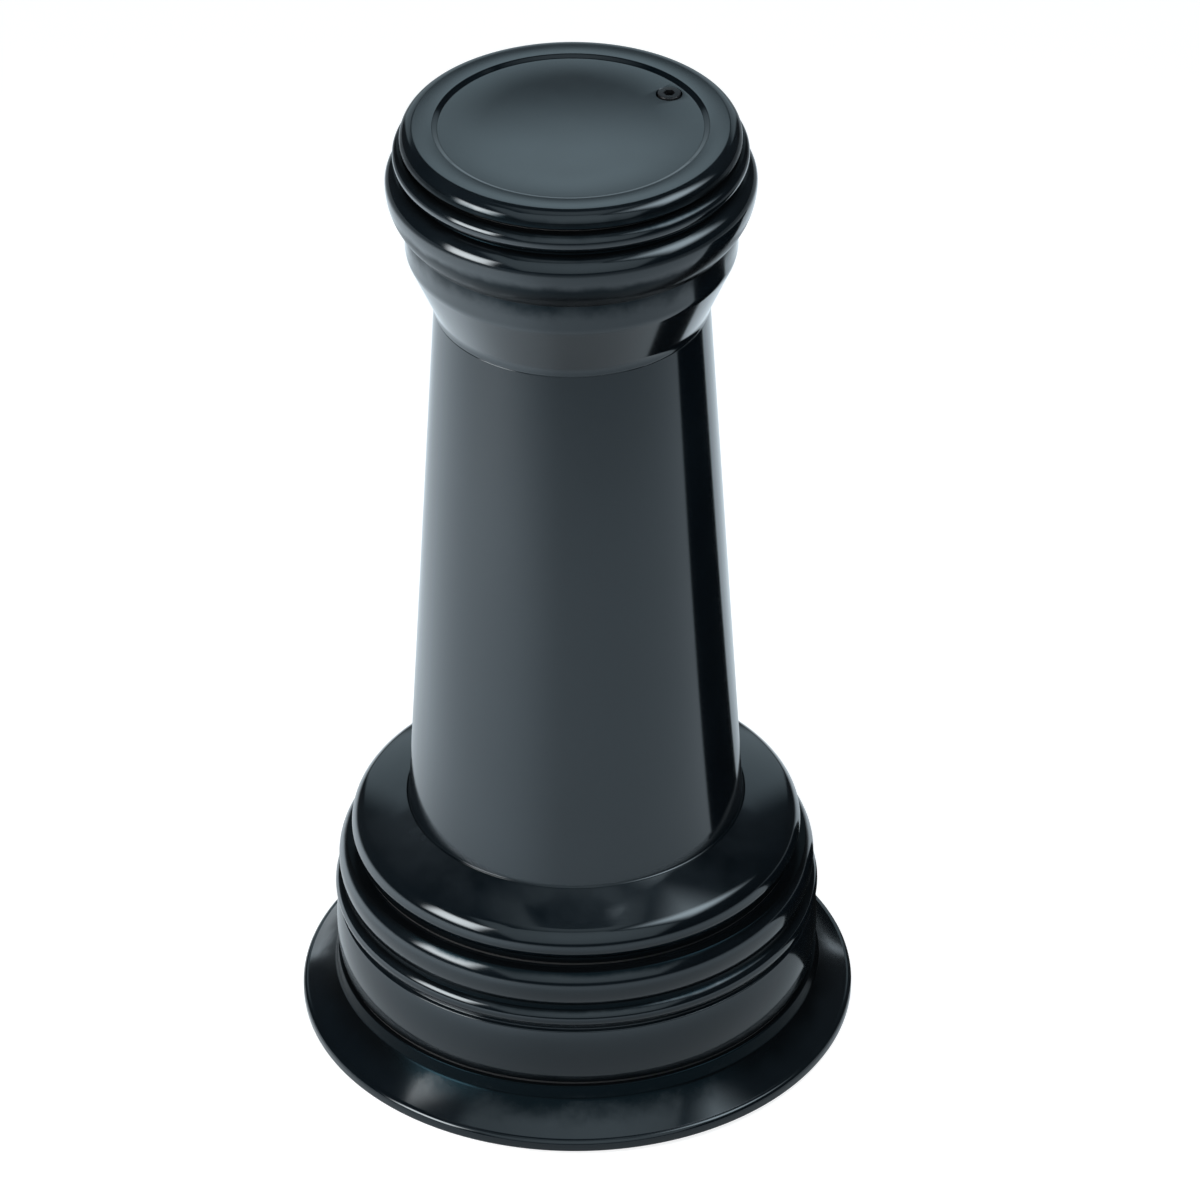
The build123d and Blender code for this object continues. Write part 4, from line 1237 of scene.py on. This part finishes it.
@dataclass
class Lid:
    """The round lid with its rolled rim, screw boss and register ring."""

    rim_round: float = 7.5
    rim_width: float = 18.5
    rim_shade: float = 9.0
    lower_round: float = 2.0
    recess: float = 1.4
    step_width: float = 2.6
    crown: float = 0.8
    counterbore: float = 7.2
    mouth_drop: float = 0.2
    mouth_chamfer: float = 0.7
    hole: float = 4.5
    boss: float = 10.0
    register_wall: float = 6.5
    register_gap: float = 0.1
    register_soft: float = 0.8
    pocket_soft: float = 0.4
    soft: float = 0.5

    def build(self, maker: Maker) -> None:
        """Build the lid's pieces.

        Args:
            maker: Makes and finishes the pieces.
        """
        lid, register, screw = Span.of("lid"), Span.of("lid_register"), Span.of("lid_screw")
        under, top, edge = Span.of("lid_gasket").top, lid.top, lid.radius
        face, rim_inner = top - self.recess, edge - self.rim_width
        outline = Outline((0.0, under)).to((edge - self.lower_round, under))
        outline.arc((edge, under + self.lower_round), (1, 0)).to((edge, top - self.rim_round))
        outline.arc((edge - self.rim_round, top), (0, 1))
        outline.to((rim_inner, top), (rim_inner - self.step_width, face))
        outline.arc_into((0.0, face + self.crown), (-1, 0))
        body = maker.turned(outline, self.soft)
        mouth, mouth_low = self.counterbore + self.mouth_chamfer, face - self.mouth_drop
        pocket = Outline((0.0, under)).to(
            (self.counterbore, under), (self.counterbore, mouth_low), (mouth, mouth_low + self.mouth_chamfer),
            (mouth, top + OVERRUN), (0.0, top + OVERRUN))
        for tool, how in ((maker.rod(self.boss, lid.bottom, under + OVERRUN), Cut.ADD),
                          (maker.turned(pocket, self.pocket_soft, SMALL_TURN), Cut.TAKE),
                          (maker.rod(self.hole, lid.bottom - OVERRUN, under + OVERRUN), Cut.TAKE)):
            body = maker.combined(body, maker.moved(tool, screw.centre), how)
        # Painted shade under the lid's rim.
        body = maker.shade_and_sheen_marked(body, (Ring(edge, under, self.rim_shade),))
        maker.finish("lid", body, PAINT, Body.LID)
        inner = register.radius - self.register_wall
        flat = Outline.band(inner, register.radius, register.bottom, under)
        ring = maker.turned(flat, self.register_soft)
        gap = maker.rod(self.boss + FIT, register.bottom - OVERRUN, under - self.register_gap)
        ring = maker.combined(ring, maker.moved(gap, screw.centre))
        maker.finish("lid_register", ring, PAINT, Body.LID)


@dataclass
class LidScrew:
    """The socket-head screw that holds the lid down, and its washer."""

    shank: float = 4.0
    neck: float = 8.0
    plain_end: float = 1.0
    pitch: float = 1.25
    key_sides: int = 6
    socket_flats: float = 6.0
    socket_depth: float = 4.5
    head_steps: int = 8
    soft: float = 0.6
    knurls: int = 48
    knurl_facets: int = 4
    knurl_depth: float = 0.22
    knurl_margin: float = 0.8
    knurl_fade: float = 0.5
    washer_bore: float = 4.3
    washer_soft: float = 0.25

    def build(self, maker: Maker) -> None:
        """Build the screw and the washer.

        Args:
            maker: Makes and finishes the pieces.
        """
        screw, washer = Span.of("lid_screw"), Span.of("lid_screw_washer")
        seat = washer.top
        head = Outline((0.0, seat)).to((screw.radius, seat))
        head.to((screw.radius, screw.top), steps=self.head_steps).to((0.0, screw.top))
        body = maker.turned(head, self.soft, self.knurls * self.knurl_facets)
        body = maker.grooved(body, 0.0, self.knurls, self.knurl_depth,
                             (seat + self.knurl_margin, screw.top - self.knurl_margin), self.knurl_fade)
        key = maker.rod(self.socket_flats / math.sqrt(3), screw.top - self.socket_depth,
                        screw.top + OVERRUN, self.key_sides)
        body = maker.moved(maker.combined(body, key), screw.centre)
        maker.finish("lid_screw_head", body, BLACK_OXIDE, Body.SCREW, ("lid_screw",))
        stem = maker.threaded(self.shank, (screw.bottom, seat + FIT),
                              (screw.bottom + self.plain_end, seat - self.neck), self.pitch)
        maker.finish("lid_screw_shank", maker.moved(stem, screw.centre), BLACK_OXIDE, Body.SCREW, ())
        flat = Outline.band(self.washer_bore, washer.radius, washer.bottom, washer.top)
        ring = maker.moved(maker.turned(flat, self.washer_soft, SMALL_TURN), washer.centre)
        maker.finish("lid_screw_washer", ring, STAINLESS, Body.WASHER)


@dataclass
class Clamp:
    """The threaded tie rod, its nuts and washer, the bridge bar and the dowels."""

    pitch: float = 2.5
    top_thread: float = 60.0
    thread_end: float = 1.0

    def build(self, maker: Maker) -> None:
        """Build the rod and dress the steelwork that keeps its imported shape.

        Args:
            maker: Makes and finishes the pieces.
        """
        rod = Span.of("tie_rod")
        thread = (rod.top - self.top_thread, rod.top - self.thread_end)
        bar = maker.threaded(rod.radius, (rod.bottom, rod.top), thread, self.pitch)
        maker.finish("tie_rod", bar, GALVANISED)
        kept = ((GALVANISED, ("bridge_bar", "rod_washer", "rod_nut", "rod_lock_nut", "rod_foot_nut")),
                (STAINLESS, ("plinth_dowels", "collar_dowels", "foot_dowels", "neck_dowels")),
                (RUBBER, ("foot_gasket",)))
        for look, names in kept:
            for name in names:
                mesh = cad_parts[name].data
                mesh.materials.clear()
                mesh.materials.append(maker.material(look))
                LOG.info("%s: packed shape in %s", name, look.name)


# ---------------------------------------------------------------- the studio
@dataclass(frozen=True)
class Card:
    """A lit card in the studio that faces the post, in metres."""

    name: str
    azimuth: float
    elevation: float
    distance: float
    width: float
    height: float
    strength: float
    rim: float
    edge: float = 0.12
    aim: float = 0.3
    hue: Colour = WHITE

    def build(self, studio: "Studio") -> None:
        """Build the card and hang it.

        Args:
            studio: Where it hangs.
        """
        turn, lift = math.radians(self.azimuth), math.radians(self.elevation)
        way = Vector((math.sin(turn) * math.cos(lift), -math.cos(turn) * math.cos(lift), math.sin(lift)))
        across = Vector((math.cos(turn), math.sin(turn), 0.0))
        centre, up = Vector((0.0, 0.0, self.aim)) + way * self.distance, way.cross(across)
        corners = ((-1, -1), (1, -1), (1, 1), (-1, 1))
        spots = [centre + across * (x * self.width / 2) + up * (y * self.height / 2) for x, y in corners]
        sheet = bpy.data.meshes.new(self.name)
        sheet.from_pydata(spots, [], [(3, 2, 1, 0)])
        layer = sheet.uv_layers.new(name="sheet")
        for place, spot in enumerate(reversed(corners)):
            layer.data[place].uv = spot
        sheet.materials.append(self._material())
        studio.hang(sheet, camera=False)

    def _material(self) -> Material:
        """Build light that fades from the card's middle to its rim.

        Returns:
            The material.
        """
        made, tree = empty_material(self.name)
        spot = node(tree, "ShaderNodeUVMap", uv_map="sheet").outputs[0]
        parts = axes(tree, spot)
        most = maths(tree, "MAXIMUM", *(maths(tree, "ABSOLUTE", parts[axis]) for axis in "XY"))
        border = ramp(tree, most, 1.0 - self.edge * 2, 1.0, 1.0, 0.0, smooth=True)
        fade = ramp(tree, vectors(tree, "LENGTH", spot, "Value"), 0.0, 1.0, self.strength, self.rim,
                    smooth=True)
        back = node(tree, "ShaderNodeNewGeometry").outputs["Backfacing"]
        level = maths(tree, "MULTIPLY", border, fade)
        level = maths(tree, "MULTIPLY", level, maths(tree, "SUBTRACT", 1.0, back))
        glow = node(tree, "ShaderNodeEmission", Color=rgba(self.hue), Strength=level)
        node(tree, "ShaderNodeOutputMaterial", Surface=glow.outputs[0])
        return made


@dataclass
class Studio:
    """The pale floor, the soft lights and the camera, in metres and degrees."""

    room_light: float = 0.03
    floor_half: float = 7.0
    floor_colour: float = 0.4
    floor_lift: float = 0.83
    floor_hue: Colour = (0.77, 0.9, 1.0)
    floor_gloss: float = 0.75
    # the floor's gloss: a painted pool of light towards the left, painted shadow near the post, a painted
    # fade far off
    pool_azimuth: float = -75.0
    pool_start: float = 0.35
    pool_gloss: float = 0.65
    painted_shadow_reach: Point = (0.16, 0.5)
    painted_shadow_share: float = 0.3
    far_reach: Point = (0.85, 1.7)
    far_share: float = 0.25
    shade_azimuth: float = 109.0
    shade_near: float = 0.13
    shade_far: float = 1.3
    shade_half_angle: float = 19.0
    shade_lift: float = 0.001
    shade_colour: Colour = (0.01, 0.01, 0.01)
    camera_elevation: float = 34.54
    camera_distance: float = 4.498
    camera_roll: float = -0.45
    target_height: float = 0.3
    lens: float = 234.2
    sensor: float = 36.0
    sight: float = 50.0
    shift: Point = (0.0215, -0.0245)
    cards: tuple[Card, ...] = (
        Card("left_softbox", -60.0, 18.0, 1.5, 0.95, 1.0, 15.0, 11.0, 0.25),
        Card("right_softbox", 82.0, 53.0, 1.5, 1.35, 1.25, 7.2, 4.6, 0.4, hue=(0.84, 0.94, 1.0)),
        Card("front_fill", 4.0, 46.0, 2.2, 4.0, 4.0, 1.15, 0.85, 0.12, hue=(0.82, 0.94, 1.0)),
        Card("overhead_card", 0.0, 88.0, 2.3, 1.9, 1.9, 0.8, 0.55, 0.3, hue=(0.82, 0.94, 1.0)),
        Card("back_wall", 180.0, 18.0, 4.0, 4.6, 2.8, 0.75, 0.6, 0.1, hue=(0.72, 0.9, 1.0)),
        Card("back_card", 180.0, 33.2, 3.6, 1.2, 0.62, 1.7, 0.7, 0.4, 0.6, hue=(0.7, 0.9, 1.0)),
    )

    def build(self) -> None:
        """Build the whole studio."""
        self._world()
        self._floor()
        self._shade()
        for card in self.cards:
            card.build(self)
        self._camera()

    def hang(self, mesh: Mesh, camera: bool = True) -> bpy.types.Object:
        """Place a studio item in the scene.

        Args:
            mesh: Its shape, under its name.
            camera: Whether the camera sees it.

        Returns:
            The item's object.
        """
        item = shown(mesh.name, mesh)
        item.visible_camera = camera
        return item

    def _world(self) -> None:
        """White behind everything for the eye, and a dark room for the lights."""
        world = bpy.data.worlds.new("room")
        bpy.context.scene.world = world
        world.use_nodes = True
        tree = world.node_tree
        tree.nodes.clear()
        seen = node(tree, "ShaderNodeLightPath").outputs["Is Camera Ray"]
        level = ramp(tree, seen, 0.0, 1.0, self.room_light, 1.0)
        light = node(tree, "ShaderNodeBackground", Color=rgba(WHITE), Strength=level)
        node(tree, "ShaderNodeOutputWorld", Surface=light.outputs[0])

    def _floor(self) -> None:
        """The pale floor: white paper that keeps the post's soft shadow. For glossy rays it also glows, with
        a painted pool of light towards the left, painted shadow near the post and a painted fade far off.
        """
        half = self.floor_half
        sheet = bpy.data.meshes.new("floor")
        sheet.from_pydata([(-half, -half, 0.0), (half, -half, 0.0), (half, half, 0.0), (-half, half, 0.0)],
                          [], [(0, 1, 2, 3)])
        made, tree = empty_material("white paper")
        path = node(tree, "ShaderNodeLightPath").outputs
        spot = node(tree, "ShaderNodeNewGeometry").outputs["Position"]
        # Painted pool of light, painted shadow near the post and a painted fade far off, all seen only in
        # gloss.
        turn = math.radians(self.pool_azimuth)
        toward = vectors(tree, "DOT_PRODUCT", vectors(tree, "NORMALIZE", spot), "Value",
                         i1=(math.sin(turn), -math.cos(turn), 0.0))
        gloss = ramp(tree, toward, self.pool_start, 1.0, self.floor_gloss, self.floor_gloss + self.pool_gloss,
                     smooth=True)
        reach = vectors(tree, "LENGTH", spot, "Value")
        for limits, start, end in ((self.painted_shadow_reach, self.painted_shadow_share, 1.0),
                                   (self.far_reach, 1.0, self.far_share)):
            gloss = maths(tree, "MULTIPLY", gloss, ramp(tree, reach, *limits, start, end, smooth=True))
        gloss = maths(tree, "MULTIPLY", path["Is Glossy Ray"], gloss)
        lift = maths(tree, "MULTIPLY_ADD", path["Is Camera Ray"], self.floor_lift, gloss)
        hue = mixed(tree, path["Is Glossy Ray"], rgba(WHITE), self.floor_hue)
        paper = node(tree, "ShaderNodeBsdfDiffuse", Color=rgba((self.floor_colour,) * 3))
        glow = node(tree, "ShaderNodeEmission", Color=hue, Strength=lift)
        both = node(tree, "ShaderNodeAddShader", i0=paper.outputs[0], i1=glow.outputs[0])
        node(tree, "ShaderNodeOutputMaterial", Surface=both.outputs[0])
        sheet.materials.append(made)
        self.hang(sheet)

    def _shade(self) -> None:
        """A dark cloth on the floor behind the post's right side, seen only in its gloss."""
        turn = math.radians(self.shade_azimuth)
        out = Vector((math.sin(turn), -math.cos(turn), 0.0))
        side = Vector((math.cos(turn), math.sin(turn), 0.0)) * math.tan(math.radians(self.shade_half_angle))
        corners = ((self.shade_near, -1), (self.shade_near, 1), (self.shade_far, 1), (self.shade_far, -1))
        cloth = bpy.data.meshes.new("dark_cloth")
        cloth.from_pydata([(out + side * way) * reach + Vector((0.0, 0.0, self.shade_lift))
                           for reach, way in corners], [], [(0, 1, 2, 3)])
        made = bpy.data.materials.new("dark cloth")
        made.use_nodes = True
        surface = made.node_tree.nodes["Principled BSDF"].inputs
        surface["Base Color"].default_value = rgba(self.shade_colour)
        surface["Specular IOR Level"].default_value = 0.0
        cloth.materials.append(made)
        item = self.hang(cloth, camera=False)
        item.visible_diffuse = item.visible_shadow = False

    def _camera(self) -> None:
        """The camera, which looks down on the post."""
        lift = math.radians(self.camera_elevation)
        target = Vector((0.0, 0.0, self.target_height))
        place = target + Vector((0.0, -math.cos(lift), math.sin(lift))) * self.camera_distance
        lens = bpy.data.cameras.new("camera")
        lens.lens, lens.sensor_width = self.lens, self.sensor
        lens.shift_x, lens.shift_y = self.shift
        lens.clip_end = self.sight
        camera = shown("camera", lens)
        aim = (target - place).to_track_quat("-Z", "Y").to_matrix().to_4x4()
        roll = Matrix.Rotation(math.radians(self.camera_roll), 4, "Z")
        camera.matrix_world = Matrix.Translation(place) @ aim @ roll
        bpy.context.scene.camera = camera


def main() -> None:
    """Build the post's looks in order, then the studio."""
    logging.basicConfig(level=logging.INFO, format="%(message)s")
    maker = Maker()
    for part in (Foot(), Plinth(), Collar(), Shaft(), Head(), Lid(), LidScrew(), Clamp()):
        part.build(maker)
    Studio().build()
    bpy.context.scene.view_settings.view_transform = "Standard"


if __name__ == "__main__":
    main()
